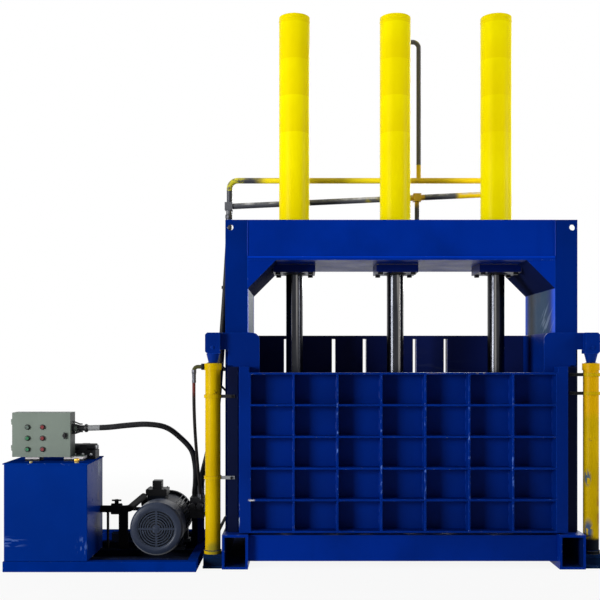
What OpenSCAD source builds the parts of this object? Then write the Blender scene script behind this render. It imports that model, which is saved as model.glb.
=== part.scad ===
// Vertical hydraulic baler: three press cylinders on a portal frame, a front gate raised by
// two side cylinders, and a power unit with tank, motor, pump and control box on its own skid.
// Millimetres. +X right, +Y to the back, +Z up. The origin is on the floor, at the middle of
// the four anchor bolts of the press.

/* [Press frame] */
// Width over the two columns
frame_w = 2360; // [2300:10:2500]
// Depth of the columns and of the beam, front to back
frame_d = 800; // [780:10:900]
// Height of the beam's top above the floor
frame_h = 2310; // [2280:10:2400]
// Width of a column's front plate
column_w = 150; // [140:2:170]
// Plate thickness of the columns and the beam
frame_plate = 20; // [14:1:24]
// How far a column's outer web stands in from its plate edges
web_inset = 75; // [70:1:80]
// Height of the top beam
beam_h = 270; // [250:5:290]
// Thickness of the beam's lower flange
beam_flange_t = 25; // [20:1:32]
// How far the lower flange stands out in front of the beam's web
flange_lip = 5; // [2:1:7]
// Leg of the 45 degree haunch between column and beam
haunch = 190; // [150:5:200]
// Thickness of the haunch's sloping plate
haunch_t = 16; // [10:1:20]
// Diameter of the lifting holes in the column heads
lifting_hole_d = 40; // [30:1:44]
// Lifting hole centre in from the column's outer edge
lifting_hole_in = 34; // [30:1:38]
// Lifting hole centre below the column's top
lifting_hole_down = 51; // [40:1:60]

/* [Base] */
// Width of a foot beam
foot_w = 170; // [160:2:190]
// Height of a foot beam
foot_h = 225; // [215:1:240]
// Length of a foot beam, front to back
foot_l = 1090; // [1080:10:1200]
// Wall of a foot beam
foot_wall = 16; // [10:1:20]
// Height of the front and rear sills above the floor
sill_lift = 45; // [30:1:60]
// Gap from a sill's top to the bed's top
sill_drop = 10; // [6:1:14]
// Depth of a sill, front to back
sill_d = 100; // [80:2:110]
// Wall of a sill
sill_wall = 10; // [8:1:14]
// Thickness of the bed planks
bed_t = 20; // [12:1:24]
// Width of a bearer under the bed
bearer_w = 80; // [60:2:100]
// Distance between bearers
bearer_pitch = 250; // [220:5:280]
// Anchor hole diameter
anchor_d = 26; // [18:1:30]
// Distance between anchor holes, front to back
anchor_pitch = 940; // [900:10:960]

/* [Bale chamber] */
// Height of the side and back walls above the floor
wall_top = 1555; // [1500:5:1620]
// Thickness of the side walls
side_wall_t = 16; // [10:1:20]
// Thickness of the back wall's plate
back_wall_t = 12; // [8:1:16]
// Depth of the back wall's ribs
back_rib_d = 88; // [60:2:100]
// Thickness of the back wall's ribs
back_rib_t = 10; // [8:1:14]
// Height of the back wall's top and bottom bars
back_bar_h = 25; // [16:1:40]
// Width of the slots for the bale ties
tie_gap = 27; // [20:1:36]
// Tie slots beside the middle, from the centre
tie_inner = 190; // [160:5:230]
// Next tie slots, from the centre
tie_mid = 425; // [390:5:460]
// Outer tie slots, from the centre
tie_outer = 790; // [740:5:840]

/* [Front gate] */
// Running gap between the gate's plate and the column fronts
gate_gap = 10; // [8:1:16]
// Thickness of the gate's plate
gate_t = 16; // [10:1:20]
// Depth of the gate's ribs
gate_rib_d = 100; // [70:2:120]
// Thickness of the gate's ribs
gate_rib_t = 12; // [8:1:16]
// Height of the gate's top above the floor
gate_top = 1287; // [1240:1:1320]
// Gap between the gate and the front sill
gate_lift_gap = 20; // [10:1:30]
// Columns of cells in the gate
gate_cols = 7; // [5:1:9]
// Rows of cells in the gate
gate_rows = 5; // [3:1:7]
// Width of the gate's edge posts
post_w = 65; // [50:1:80]
// Wall of the edge posts
post_wall = 8; // [5:1:10]
// How far the edge posts lap over the column fronts
post_lap = 50; // [40:1:54]
// How far the edge posts stand above the gate's top
post_rise = 38; // [20:1:44]
// Width of the plate's tongue that runs in the guides
tongue_w = 45; // [40:1:50]
// Thickness of the guide rails
guide_t = 16; // [10:1:20]
// Play between a tongue and its guide
guide_play = 4; // [2:1:6]
// Height of the ears' top above the floor
ear_top = 1552; // [1530:2:1600]
// Height of an ear's arm
arm_h = 112; // [90:2:120]
// How far an ear reaches in from the column's inner face
ear_lap = 80; // [60:2:110]
// Corner radius of the ears
ear_r = 46; // [20:1:60]

/* [Press cylinders] */
// Distance between the press cylinders
cyl_pitch = 720; // [680:5:740]
// Outside diameter of a press cylinder
cyl_od = 219; // [200:1:240]
// Bore of a press cylinder
cyl_bore = 180; // [160:1:190]
// Diameter of a press rod
rod_d = 120; // [100:1:130]
// Height of the cylinders' top above the floor
cyl_top = 3810; // [3780:5:3900]
// Thickness of a cylinder's end cap
cyl_cap_t = 50; // [40:1:60]
// Side of a cylinder's square flange
cyl_flange_w = 294; // [280:2:320]
// Thickness of a cylinder's flange
cyl_flange_t = 56; // [40:1:60]
// Length of the guided stretch above the flange
gland_l = 106; // [90:1:120]
// Height of a press piston
piston_h = 90; // [60:1:110]
// Height of a piston's underside above the floor, at rest
piston_z = 2870; // [2840:5:2900]
// Diameter of the port bosses
port_d = 64; // [50:1:70]
// How far the port bosses stand out
port_l = 25; // [16:1:30]
// Height of the lower ports above the beam
rod_port_up = 38; // [36:1:50]
// Lower edge of the upper ports below the cylinder's top
cap_port_down = 80; // [70:1:120]

/* [Platen] */
// Height of the platen's top above the floor, at rest
platen_top = 1150; // [1130:5:1160]
// Height of the platen's frame
platen_h = 180; // [150:5:200]
// Thickness of the platen's plates
platen_plate = 25; // [16:1:30]
// Height of the shoes under the platen
shoe_h = 40; // [30:1:50]
// Gap between the platen and the chamber's walls
platen_gap = 15; // [10:1:20]
// Side of the pads under the rods
pad_w = 300; // [280:2:320]
// Diameter of a rod's flange
rod_flange_d = 250; // [220:2:270]
// Thickness of a rod's flange
rod_flange_t = 35; // [25:1:40]

/* [Gate cylinders] */
// Distance from a column's outer edge to a gate cylinder's axis
lift_out = 80; // [76:1:100]
// Distance from the column fronts to the gate cylinders' axes
lift_fore = 30; // [20:1:36]
// Outside diameter of a gate cylinder
lift_od = 102; // [90:1:110]
// Bore of a gate cylinder
lift_bore = 80; // [70:1:84]
// Diameter of a gate cylinder's rod
lift_rod_d = 60; // [45:1:64]
// Diameter of the head of a gate cylinder
head_od = 114; // [112:1:120]
// Height of the head of a gate cylinder
head_h = 46; // [30:1:60]
// Width of an ear's lug block
lug_w = 96; // [88:1:100]
// Depth of an ear's lug block
lug_d = 90; // [84:1:110]
// Height of an ear's lug block
lug_h = 140; // [125:1:150]
// Height of the tapered rod end under a lug
rod_end_h = 56; // [40:1:60]
// Height of the bracket that a gate cylinder stands on
bracket_h = 85; // [70:1:100]
// Height of the clamp bands
clamp_h = 22; // [16:1:30]

/* [Pipes] */
// Diameter of the two header pipes
header_d = 42; // [34:1:48]
// Diameter of the branch pipes
branch_d = 34; // [26:1:38]
// Height of the upper header above the beam's top
upper_up = 391; // [340:1:440]
// Height of the lower header's left end above the beam's top
lower_up = 189; // [160:1:210]
// Rise of the lower header from its left end to its right end
lower_rise = 92; // [0:2:110]
// Distance of the upper header behind the cylinder axes
upper_y = 250; // [240:2:270]
// Distance of the lower header behind the cylinder axes
lower_y = 190; // [184:1:196]
// Offset of the middle cylinder's branches to the right
branch_x = 200; // [180:2:230]
// Diameter of the gate cylinders' feed pipe
feed_d = 22; // [16:1:28]
// Height of the gate cylinders' feed pipe above the floor
feed_z = 150; // [140:2:180]

/* [Power unit] */
// Gap between the columns' outer edge and the skid
unit_gap = 170; // [165:1:185]
// Length of the skid
skid_l = 1250; // [1230:5:1350]
// Depth of the skid, front to back
skid_d = 1120; // [1110:5:1200]
// Height of the skid
skid_h = 67; // [60:1:80]
// Wall of the skid's channels
skid_wall = 8; // [6:1:10]
// How far the skid stands in front of the column fronts
skid_fore = 220; // [200:5:240]
// Width of the tank
tank_w = 540; // [500:5:560]
// Depth of the tank
tank_d = 450; // [420:5:480]
// Height of the tank above the skid
tank_h = 627; // [600:1:660]
// Wall of the tank
tank_wall = 5; // [4:1:8]
// Thickness of the tank's lid
lid_t = 8; // [5:1:10]
// Overhang of the tank's lid
lid_lip = 6; // [3:1:8]
// Height of the motor's shaft above the skid
shaft_h = 180; // [178:1:190]
// Diameter of the motor over its cooling fins
motor_d = 344; // [330:2:350]
// Diameter of the motor's fan cowl
cowl_d = 352; // [350:1:356]
// Length of the motor without its shaft end
motor_l = 620; // [600:5:640]
// Length of the fan cowl
cowl_l = 180; // [160:2:200]
// Diameter of the motor's shaft
shaft_d = 48; // [38:1:55]
// Length of the bell housing between motor and pump
bell_l = 120; // [110:2:130]
// Length of the pump
pump_l = 200; // [180:5:210]
// Diameter of the suction pipe
suction_d = 48; // [40:1:52]
// Height of the suction pipe above the skid
suction_up = 276; // [270:1:290]

/* [Control box] */
// Width of the control box
box_w = 384; // [370:2:400]
// Height of the control box
box_h = 292; // [280:2:310]
// Depth of the control box without its door
box_d = 104; // [90:2:140]
// Thickness of the control box's door
door_t = 18; // [14:1:24]
// Sheet thickness of the control box and its door
box_wall = 2; // [1.5:0.5:4]
// Height of the control box's feet
box_foot_h = 29; // [20:1:40]
// Diameter of a button's bezel
bezel_d = 34; // [30:1:40]
// Diameter of a button
button_d = 24; // [18:1:26]
// Distance between the two columns of buttons
button_pitch_x = 99; // [80:1:110]
// Distance between the rows of buttons
button_pitch_z = 73; // [55:1:80]

/* [Hoses] */
// Diameter of the two hoses down the left column
hose_d = 38; // [30:1:40]
// Diameter of the gate cylinder's hose
lift_hose_d = 22; // [16:1:26]
// Diameter of the control cable's sleeve
cable_d = 38; // [30:1:40]

/* [Hidden] */
$fn = 72;

// Running and seating clearances
run_gap = 0.3;
seat_gap = 0.5;

// Frame
half_w = frame_w / 2;
half_d = frame_d / 2;
col_in = half_w - column_w;
foot_x = half_w - column_w / 2;
foot_in = foot_x - foot_w / 2;
foot_out = foot_x + foot_w / 2;
beam_z = frame_h - beam_h;

// Bed and sills
bed_z = foot_h;
sill_top = bed_z - sill_drop;
bearer_top = bed_z - bed_t;

// Chamber
wall_in = col_in - side_wall_t;
panel_out = col_in + post_lap;
tie_x = [-tie_outer, -tie_mid, -tie_inner, tie_inner, tie_mid, tie_outer];
back_out = half_d + back_wall_t + back_rib_d;

// Gate
gate_in = -half_d - gate_gap;
gate_face = gate_in - gate_t;
gate_front = gate_face - gate_rib_d;
gate_bottom = sill_top + gate_lift_gap;
cells_out = panel_out - post_w;
plate_out = panel_out + tongue_w;
guide_wall_x = plate_out + 5 * guide_play;
guide_out = guide_wall_x + guide_t;
guide_back = gate_face - guide_play;
guide_front = guide_back - guide_t;
guide_lip_x = panel_out + 3 * guide_play;
guide_top = gate_top + post_rise;
ear_in = col_in - ear_lap;
ear_side = half_w - 20;
ear_step = guide_top + 10;

// Gate cylinders
lift_x = half_w + lift_out;
lift_y = -half_d - lift_fore;
lug_z = ear_top - lug_h;
lift_top = lug_z - rod_end_h - 8;
lift_base_t = 20;
lift_floor_t = 20;
lift_piston_h = 60;
lift_piston_z = bracket_h + lift_base_t + lift_floor_t + 5;
spigot_d = 40;
spigot_l = 80;
pin_d = 20;
chamfer = 14;
right_clamps = [head_h + 40, head_h + 164];
left_clamps = [head_h + 184, head_h + 724];

// Press cylinders
cyl_x = [-cyl_pitch, 0, cyl_pitch];
cyl_bottom = beam_z - cyl_flange_t;
bore_z = cyl_bottom + gland_l;
port_y = cyl_od / 2 + port_l;
rod_port_z = frame_h + rod_port_up;
cap_port_z = cyl_top - cap_port_down;

// Platen
platen_x = wall_in - platen_gap;
platen_y = half_d - platen_gap;
platen_base = platen_top - platen_h;
shoe_z = platen_base - shoe_h;

// Bolts, as across-corners diameter and head height
bolt_d = 36;
bolt_h = 15;

// Pipes
upper_z = frame_h + upper_up;
lower_z = frame_h + lower_up;
bend_r = 60;
branch_r = 45;
drop_x = -half_w - 24;
header_end = cyl_pitch + 40;
upper_drop = 221;
lower_drop = 91;
tee_w = header_d + 16;
feed_r = 40;
feed_back = foot_l / 2 + 20;

// Power unit
unit_x1 = -half_w - unit_gap;
unit_x0 = unit_x1 - skid_l;
unit_y0 = -half_d - skid_fore;
unit_y1 = unit_y0 + skid_d;
rail_w = 60;
tank_x0 = unit_x0 + lid_lip;
tank_x1 = tank_x0 + tank_w;
tank_y0 = unit_y0 + lid_lip;
tank_y1 = tank_y0 + tank_d;
tank_top = skid_h + tank_h;
lid_top = tank_top + lid_t;
motor_x = unit_x1 - 285;
motor_z = skid_h + shaft_h;
motor_y0 = unit_y0 + 160;
motor_y1 = motor_y0 + motor_l;
cowl_end = motor_y0 + cowl_l;
shield_t = 30;
pump_y0 = motor_y1 + bell_l;
pump_w = 150;
motor_feet_y = [cowl_end + 60, motor_y1 - 110];
rail_y = [tank_y0 + 120, motor_feet_y[0], motor_feet_y[1], pump_y0 + pump_l / 2];
suction_z = skid_h + suction_up;
suction_y = motor_feet_y[0];
suction_x = motor_x - 225;
suction_r = 38;
valve_x = suction_x - 85;
strut_x = suction_x - 145;
stand_x = suction_x - suction_r;
pump_port_y = pump_y0 + 0.5 * pump_l;
oil_line_d = 28;
oil_line_y = pump_y0 + pump_l + 25;

// Manifold for the hoses, on a stand at the skid's right end
manifold_w = 100;
manifold_h = 145;
manifold_d = 150;
manifold_x0 = unit_x1 - 110;
manifold_x1 = manifold_x0 + manifold_w;
manifold_y0 = -60;
manifold_y1 = manifold_y0 + manifold_d;
manifold_z0 = 250;
manifold_z1 = manifold_z0 + manifold_h;

// Control box
box_x0 = tank_x0 + 18;
box_x1 = box_x0 + box_w;
box_z0 = lid_top + box_foot_h;
box_z1 = box_z0 + box_h;
door_front = tank_y0 + 114;
door_back = door_front + door_t;
box_front = door_back + 1;
box_back = box_front + box_d;
hinge_x = box_x0 - 6;
hinge_y = door_back + 0.5;
hinge_d = 11;
button_x = [box_x0 + 102, box_x0 + 102 + button_pitch_x];
button_z = [for (row = [-1 : 1]) box_z0 + 124 - row * button_pitch_z];
button_out = 9;
button_travel = 4;
button_bore_l = 14;
bezel_t = 6;
lock_x = box_x1 - 36;
lock_z = box_z0 + 141;

// Tank, motor, pump and door details
flange_bolt_d = 24;
filler_x = tank_x1 - 74;
filler_y = tank_y0 + 26;
filler_hole = 16;
neck_h = 8;
rotor_space = 0.58 * motor_d;
terminal_x = motor_x - 118;
terminal_y = motor_y1 - 335;
terminal_w = 146;
terminal_z = motor_z + motor_d / 2 + 6;
fan_y = motor_y0 + 50;
coupling_y = motor_y1 + 15;
stub_d = 30;
stem_h = 52;
hinge_pin_d = 5;
knuckle_l = 18;
hinge_z = [box_z0 + 40, box_z1 - 80];

// Routes of the hoses and of the control cable, chosen by hand
manifold_port_x = manifold_x1 - 32;
lift_hose_x = -lift_x - 126;
lift_port_z = lift_top - head_h / 2;
cable_z = box_z0 + 185;
cable_y = box_front + 51;
gland_x = box_x1 + 30;
pressure_route = [
    [drop_x, upper_y, upper_z - upper_drop], [-1206, 250, 2400], [-1212, 232, 2200], [-1226, 200, 1900],
    [-1242, 165, 1600], [-1258, 130, 1300], [-1282, 98, 1000], [-1325, 72, 760], [-1375, 58, 560],
    [-1391, 55, 460], [manifold_port_x, 55, manifold_z1]
];
return_route = [
    [drop_x, lower_y, lower_z - lower_drop], [-1206, 190, 2340], [-1214, 172, 2150], [-1230, 140, 1850],
    [-1248, 105, 1550], [-1266, 70, 1250], [-1292, 38, 960], [-1336, 10, 730], [-1380, -3, 550],
    [-1391, -5, 460], [manifold_port_x, -5, manifold_z1]
];
lift_hose_route = [
    [lift_hose_x, lift_y, lift_port_z - 45], [-1387, -428, 1200], [-1388, -410, 1060], [-1388, -360, 900],
    [-1386, -285, 740], [-1384, -195, 590], [-1384, -105, 478], [-1385, -52, 430],
    [manifold_port_x + 7, -45, manifold_z1]
];
cable_route = [
    [gland_x, cable_y, cable_z], [-2090, -430, 917], [-1960, -422, 921], [-1830, -400, 933],
    [-1710, -352, 936], [-1600, -286, 912], [-1520, -213, 846], [-1440, -142, 742], [-1420, -76, 620],
    [-1426, -10, 500], [-1437, 36, 430], [manifold_port_x - 46, 40, manifold_z1]
];
hose_sides = 10;
ring_step = 100;

blue = [0.01, 0.10, 0.42];
yellow = [0.95, 0.80, 0.02];
steel = [0.70, 0.71, 0.73];
black = [0.06, 0.06, 0.07];
grey = [0.52, 0.55, 0.50];
slate = [0.16, 0.21, 0.28];
green = [0.05, 0.35, 0.15];
red = [0.70, 0.05, 0.05];
brass = [0.72, 0.55, 0.20];

// Shapes used by several parts

module box(lo, hi) {
    translate(lo)
        cube(hi - lo);
}

module both_sides() {
    children();
    mirror([1, 0, 0])
        children();
}

module rod_x(x0, x1, y, z, d) {
    translate([x0, y, z])
        rotate([0, 90, 0])
            cylinder(d = d, h = x1 - x0);
}

module rod_y(x, y0, y1, z, d) {
    translate([x, y0, z])
        rotate([-90, 0, 0])
            cylinder(d = d, h = y1 - y0);
}

module rod_z(x, y, z0, z1, d) {
    translate([x, y, z0])
        cylinder(d = d, h = z1 - z0);
}

module hex_z(x, y, z0, z1, d) {
    translate([x, y, z0])
        cylinder(d = d, h = z1 - z0, $fn = 6);
}

// A shape drawn in X and Z, given thickness along Y
module xz_plate(y0, y1) {
    translate([0, y1, 0])
        rotate([90, 0, 0])
            linear_extrude(y1 - y0)
                children();
}

// A shape drawn in Y and Z, given thickness along X
module yz_plate(x0, x1) {
    translate([x0, 0, 0])
        rotate([90, 0, 90])
            linear_extrude(x1 - x0)
                children();
}

// A shape drawn round the motor's axis, given length along Y
module motor_round(y0) {
    translate([motor_x, y0, motor_z])
        rotate([-90, 0, 0])
            children();
}

function unit(v) = v / norm(v);

module leg(a, b, d) {
    v = b - a;
    translate(a)
        rotate([0, acos(v[2] / norm(v)), atan2(v[1], v[0])])
            cylinder(d = d, h = norm(v));
}

module elbow(corner, u, v, d, bend) {
    c = corner + bend * (v - u);
    w = cross(u, v);
    multmatrix([
        [-v[0], u[0], w[0], c[0]],
        [-v[1], u[1], w[1], c[1]],
        [-v[2], u[2], w[2], c[2]],
        [0, 0, 0, 1]
    ])
        rotate_extrude(angle = 90)
            translate([bend, 0])
                circle(d = d);
}

// A pipe along square corners, bent at each one
module pipe_run(p, d, bend) {
    last = len(p) - 1;
    for (i = [0 : last - 1]) {
        u = unit(p[i + 1] - p[i]);
        leg(p[i] + (i > 0 ? bend : 0) * u, p[i + 1] - (i + 1 < last ? bend : 0) * u, d);
    }
    for (i = [1 : last - 1])
        elbow(p[i], unit(p[i] - p[i - 1]), unit(p[i + 1] - p[i]), d, bend);
}

// A point on the smooth curve through the points of a route
function curve_at(p, i, t) =
    let (
        last = len(p) - 1,
        a = i > 0 ? p[i - 1] : 2 * p[0] - p[1],
        b = p[i],
        c = p[i + 1],
        d = i + 2 <= last ? p[i + 2] : 2 * p[last] - p[last - 1]
    )
    0.5 * (2 * b + (c - a) * t + (2 * a - 5 * b + 4 * c - d) * t * t + (3 * b - a - 3 * c + d) * t * t * t);

function curve_points(p, step) = [
    for (i = [0 : len(p) - 2])
        let (n = max(1, round(norm(p[i + 1] - p[i]) / step)))
            for (k = [0 : n - 1]) curve_at(p, i, k / n),
    p[len(p) - 1]
];

function ring(centre, along, d, sides) =
    let (n = unit(cross(along, [0, 1, 0])), m = cross(n, unit(along)))
    [for (k = [0 : sides - 1]) centre + d / 2 * (cos(360 * k / sides) * n + sin(360 * k / sides) * m)];

// A hose along a route, with its two ends square to the given directions
module hose(p, d, step, start, finish) {
    q = curve_points(p, step);
    last = len(q) - 1;
    s = hose_sides;
    points = [
        for (i = [0 : last])
            each ring(q[i], i == 0 ? start : i == last ? finish : q[i + 1] - q[i - 1], d, s)
    ];
    sides = [
        for (i = [0 : last - 1], k = [0 : s - 1])
            let (a = i * s + k, b = i * s + (k + 1) % s)
                each [[a, a + s, b], [b, a + s, b + s]]
    ];
    ends = [[for (k = [0 : s - 1]) k], [for (k = [s - 1 : -1 : 0]) last * s + k]];
    polyhedron(points = points, faces = concat(sides, ends), convexity = 8);
}

// Edges of the seven strips between the tie slots, within a half width
function strip_x0(i, out) = i == 0 ? -out : tie_x[i - 1] + tie_gap / 2;
function strip_x1(i, out) = i == len(tie_x) ? out : tie_x[i] - tie_gap / 2;

module strips(out, y0, y1, z0, z1) {
    for (i = [0 : len(tie_x)])
        box([strip_x0(i, out), y0, z0], [strip_x1(i, out), y1, z1]);
}

// Base, bed and portal frame

module foot_beam() {
    difference() {
        box([foot_in, -foot_l / 2, 0], [foot_out, foot_l / 2, foot_h]);
        box(
            [foot_in + foot_wall, -foot_l / 2 - 1, foot_wall],
            [foot_out - foot_wall, foot_l / 2 + 1, foot_h - foot_wall]
        );
        for (y = [-1, 1])
            rod_z(foot_x, y * anchor_pitch / 2, -1, foot_wall + 1, anchor_d);
    }
}

// A channel along X, open underneath
module channel_x(y0, y1, z0, z1, wall) {
    difference() {
        box([-foot_in, y0, z0], [foot_in, y1, z1]);
        box([-foot_in - 1, y0 + wall, z0 - 1], [foot_in + 1, y1 - wall, z1 - wall]);
    }
}

module base_frame() {
    color(blue) {
        both_sides()
            foot_beam();
        channel_x(-half_d - sill_d, -half_d, sill_lift, sill_top, sill_wall);
        channel_x(half_d, half_d + sill_d, sill_lift, sill_top, sill_wall);
        for (y = [-bearer_pitch, 0, bearer_pitch])
            channel_x(y - bearer_w / 2, y + bearer_w / 2, sill_lift, bearer_top, sill_wall);
    }
}

module bed_planks() {
    color(slate)
        strips(wall_in - 2, -half_d, half_d, bearer_top, bed_z);
}

module column() {
    web_x = half_w - web_inset;
    difference() {
        union() {
            box([col_in, -half_d, foot_h], [half_w, -half_d + frame_plate, frame_h]);
            box([col_in, half_d - frame_plate, foot_h], [half_w, half_d, frame_h]);
            box([col_in, -half_d, foot_h], [col_in + frame_plate, half_d, frame_h]);
            box([web_x - frame_plate, -half_d, foot_h], [web_x, half_d, frame_h]);
            box([col_in, -half_d, frame_h - frame_plate], [web_x, half_d, frame_h]);
        }
        rod_y(half_w - lifting_hole_in, -half_d - 1, half_d + 1, frame_h - lifting_hole_down, lifting_hole_d);
    }
}

module left_column() {
    color(blue)
        mirror([1, 0, 0])
            column();
}

module right_column() {
    color(blue)
        column();
}

// Gussets and sloping plate between a column and the beam, cut out for the cylinder's flange
module haunch_block() {
    corner = [[col_in, beam_z], [col_in - haunch, beam_z], [col_in, beam_z - haunch]];
    slope = haunch_t * sqrt(2);
    notch = cyl_flange_w / 2 + seat_gap;
    xz_plate(-half_d, -half_d + frame_plate)
        polygon(corner);
    xz_plate(half_d - frame_plate, half_d)
        polygon(corner);
    difference() {
        xz_plate(-half_d, half_d)
            polygon([corner[1], corner[2], corner[2] + [0, slope], corner[1] + [slope, 0]]);
        box([col_in - haunch - 1, -notch, cyl_bottom - 1], [cyl_pitch + notch, notch, beam_z + 1]);
    }
}

module flange_bolts_at(x) {
    for (i = [-1, 1], j = [-1, 1])
        translate([x + i * (cyl_flange_w / 2 - 32), j * (cyl_flange_w / 2 - 32), 0])
            children();
}

module top_beam() {
    color(blue)
        difference() {
            union() {
                box([-col_in, -half_d, beam_z], [col_in, -half_d + frame_plate, frame_h]);
                box([-col_in, half_d - frame_plate, beam_z], [col_in, half_d, frame_h]);
                box(
                    [-col_in, -half_d - flange_lip, beam_z],
                    [col_in, half_d + flange_lip, beam_z + beam_flange_t]
                );
                box([-col_in, -half_d, frame_h - frame_plate], [col_in, half_d, frame_h]);
                both_sides()
                    box([cyl_pitch / 2 - 8, -half_d, beam_z], [cyl_pitch / 2 + 8, half_d, frame_h]);
                both_sides()
                    haunch_block();
            }
            for (x = cyl_x) {
                rod_z(x, 0, beam_z - 1, frame_h + 1, cyl_od + 2 * seat_gap);
                flange_bolts_at(x)
                    rod_z(0, 0, beam_z - 1, beam_z + beam_flange_t + 1, flange_bolt_d + 2 * seat_gap);
            }
        }
}

// Bale chamber

module side_walls() {
    color(blue)
        both_sides()
            box([wall_in, -half_d, bed_z], [col_in, half_d, wall_top]);
}

module back_wall() {
    rib_y = half_d + back_wall_t;
    tall = wall_top - sill_top;
    color(blue)
        difference() {
            union() {
                strips(panel_out, half_d, rib_y, sill_top, wall_top);
                for (i = [0 : len(tie_x)], k = [1 : 4])
                    box(
                        [strip_x0(i, panel_out), rib_y, sill_top + k * tall / 5],
                        [strip_x1(i, panel_out), back_out, sill_top + k * tall / 5 + back_rib_t]
                    );
                for (i = [0 : len(tie_x)]) {
                    x0 = strip_x0(i, panel_out);
                    x1 = strip_x1(i, panel_out);
                    box([x0, rib_y, sill_top], [x0 + back_rib_t, back_out, wall_top]);
                    box([x1 - back_rib_t, rib_y, sill_top], [x1, back_out, wall_top]);
                }
                box([-panel_out, half_d, wall_top - back_bar_h], [panel_out, back_out, wall_top]);
                box([-panel_out, half_d, sill_top], [panel_out, back_out, sill_top + back_bar_h]);
            }
            both_sides()
                box([foot_in, half_d - 1, 0], [foot_out, back_out + 1, foot_h]);
        }
}

module gate_guides() {
    color(slate)
        both_sides() {
            box([guide_lip_x, guide_front, foot_h], [guide_out, guide_back, guide_top]);
            box([guide_wall_x, guide_front, foot_h], [guide_out, -half_d, guide_top]);
        }
}

// Front gate

module gate_plate() {
    color(blue)
        box([-plate_out, gate_face, gate_bottom], [plate_out, gate_in, gate_top]);
}

module gate_post() {
    post_top = gate_top + post_rise;
    difference() {
        box([cells_out, gate_front, gate_bottom], [panel_out, gate_face, post_top]);
        box(
            [cells_out + post_wall, gate_front + post_wall, gate_bottom - 1],
            [panel_out - post_wall, gate_face - post_wall, post_top - post_wall]
        );
    }
}

module gate_rib_grid() {
    t = gate_rib_t;
    pitch_x = (2 * cells_out - t) / gate_cols;
    pitch_z = (gate_top - gate_bottom - t) / gate_rows;
    color(blue) {
        xz_plate(gate_front, gate_face)
            difference() {
                translate([-cells_out, gate_bottom])
                    square([2 * cells_out, gate_top - gate_bottom]);
                for (i = [0 : gate_cols - 1], j = [0 : gate_rows - 1])
                    translate([-cells_out + t + i * pitch_x, gate_bottom + t + j * pitch_z])
                        square([pitch_x - t, pitch_z - t]);
            }
        both_sides()
            gate_post();
    }
}

module lift_ear() {
    lug_in = lift_x - lug_w / 2;
    lug_out = lift_x + lug_w / 2;
    difference() {
        union() {
            xz_plate(gate_face, gate_in) {
                polygon([
                    [ear_in, gate_top], [plate_out, gate_top], [plate_out, ear_step], [ear_side, ear_step],
                    [ear_side, ear_top - arm_h], [lift_x, ear_top - arm_h], [lift_x, ear_top],
                    [ear_in + ear_r, ear_top], [ear_in, ear_top - ear_r]
                ]);
                translate([ear_in + ear_r, ear_top - ear_r])
                    circle(r = ear_r);
            }
            xz_plate(lift_y - lug_d / 2, lift_y + lug_d / 2)
                polygon([
                    [lug_in, lug_z], [lug_out - chamfer, lug_z], [lug_out, lug_z + chamfer],
                    [lug_out, ear_top - chamfer], [lug_out - chamfer, ear_top], [lug_in, ear_top]
                ]);
        }
        rod_z(lift_x, lift_y, lug_z - 1, lug_z + spigot_l + 2, spigot_d + 2 * run_gap);
        rod_y(lift_x, lift_y - lug_d, lift_y + lug_d, lug_z + spigot_l / 2, pin_d + 2 * run_gap);
    }
}

module left_lift_ear() {
    color(blue)
        mirror([1, 0, 0])
            lift_ear();
}

module right_lift_ear() {
    color(blue)
        lift_ear();
}

module lift_rods() {
    color(steel)
        both_sides() {
            rod_z(lift_x, lift_y, lift_piston_z, lift_piston_z + lift_piston_h, lift_bore - 2 * run_gap);
            rod_z(lift_x, lift_y, lift_piston_z, lug_z - rod_end_h, lift_rod_d);
            translate([lift_x, lift_y, lug_z - rod_end_h])
                cylinder(d1 = lift_rod_d, d2 = lug_d - 2, h = rod_end_h);
            rod_z(lift_x, lift_y, lug_z - 1, lug_z + spigot_l, spigot_d);
            rod_y(lift_x, lift_y - lug_d / 2 - 6, lift_y + lug_d / 2 + 6, lug_z + spigot_l / 2, pin_d);
        }
}

// Press cylinders, rods and platen

module press_cylinder(x) {
    color(yellow)
        difference() {
            union() {
                rod_z(x, 0, cyl_bottom, cyl_top, cyl_od);
                box(
                    [x - cyl_flange_w / 2, -cyl_flange_w / 2, cyl_bottom],
                    [x + cyl_flange_w / 2, cyl_flange_w / 2, beam_z]
                );
                rod_y(x, 0, port_y, rod_port_z, port_d);
                rod_y(x, 0, port_y, cap_port_z, port_d);
            }
            rod_z(x, 0, bore_z, cyl_top - cyl_cap_t, cyl_bore);
            rod_z(x, 0, cyl_bottom - 1, bore_z + 1, rod_d + 2 * run_gap);
            flange_bolts_at(x)
                rod_z(0, 0, cyl_bottom - 1, beam_z + 1, flange_bolt_d + 2 * seat_gap);
        }
}

module left_press_cylinder() {
    press_cylinder(cyl_x[0]);
}

module centre_press_cylinder() {
    press_cylinder(cyl_x[1]);
}

module right_press_cylinder() {
    press_cylinder(cyl_x[2]);
}

module cylinder_flange_bolts() {
    nut_z = beam_z + beam_flange_t;
    color(black)
        for (x = cyl_x)
            flange_bolts_at(x) {
                hex_z(0, 0, cyl_bottom - bolt_h, cyl_bottom, bolt_d);
                rod_z(0, 0, cyl_bottom - bolt_h, nut_z + 24, flange_bolt_d);
                hex_z(0, 0, nut_z, nut_z + 19, bolt_d);
            }
}

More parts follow.
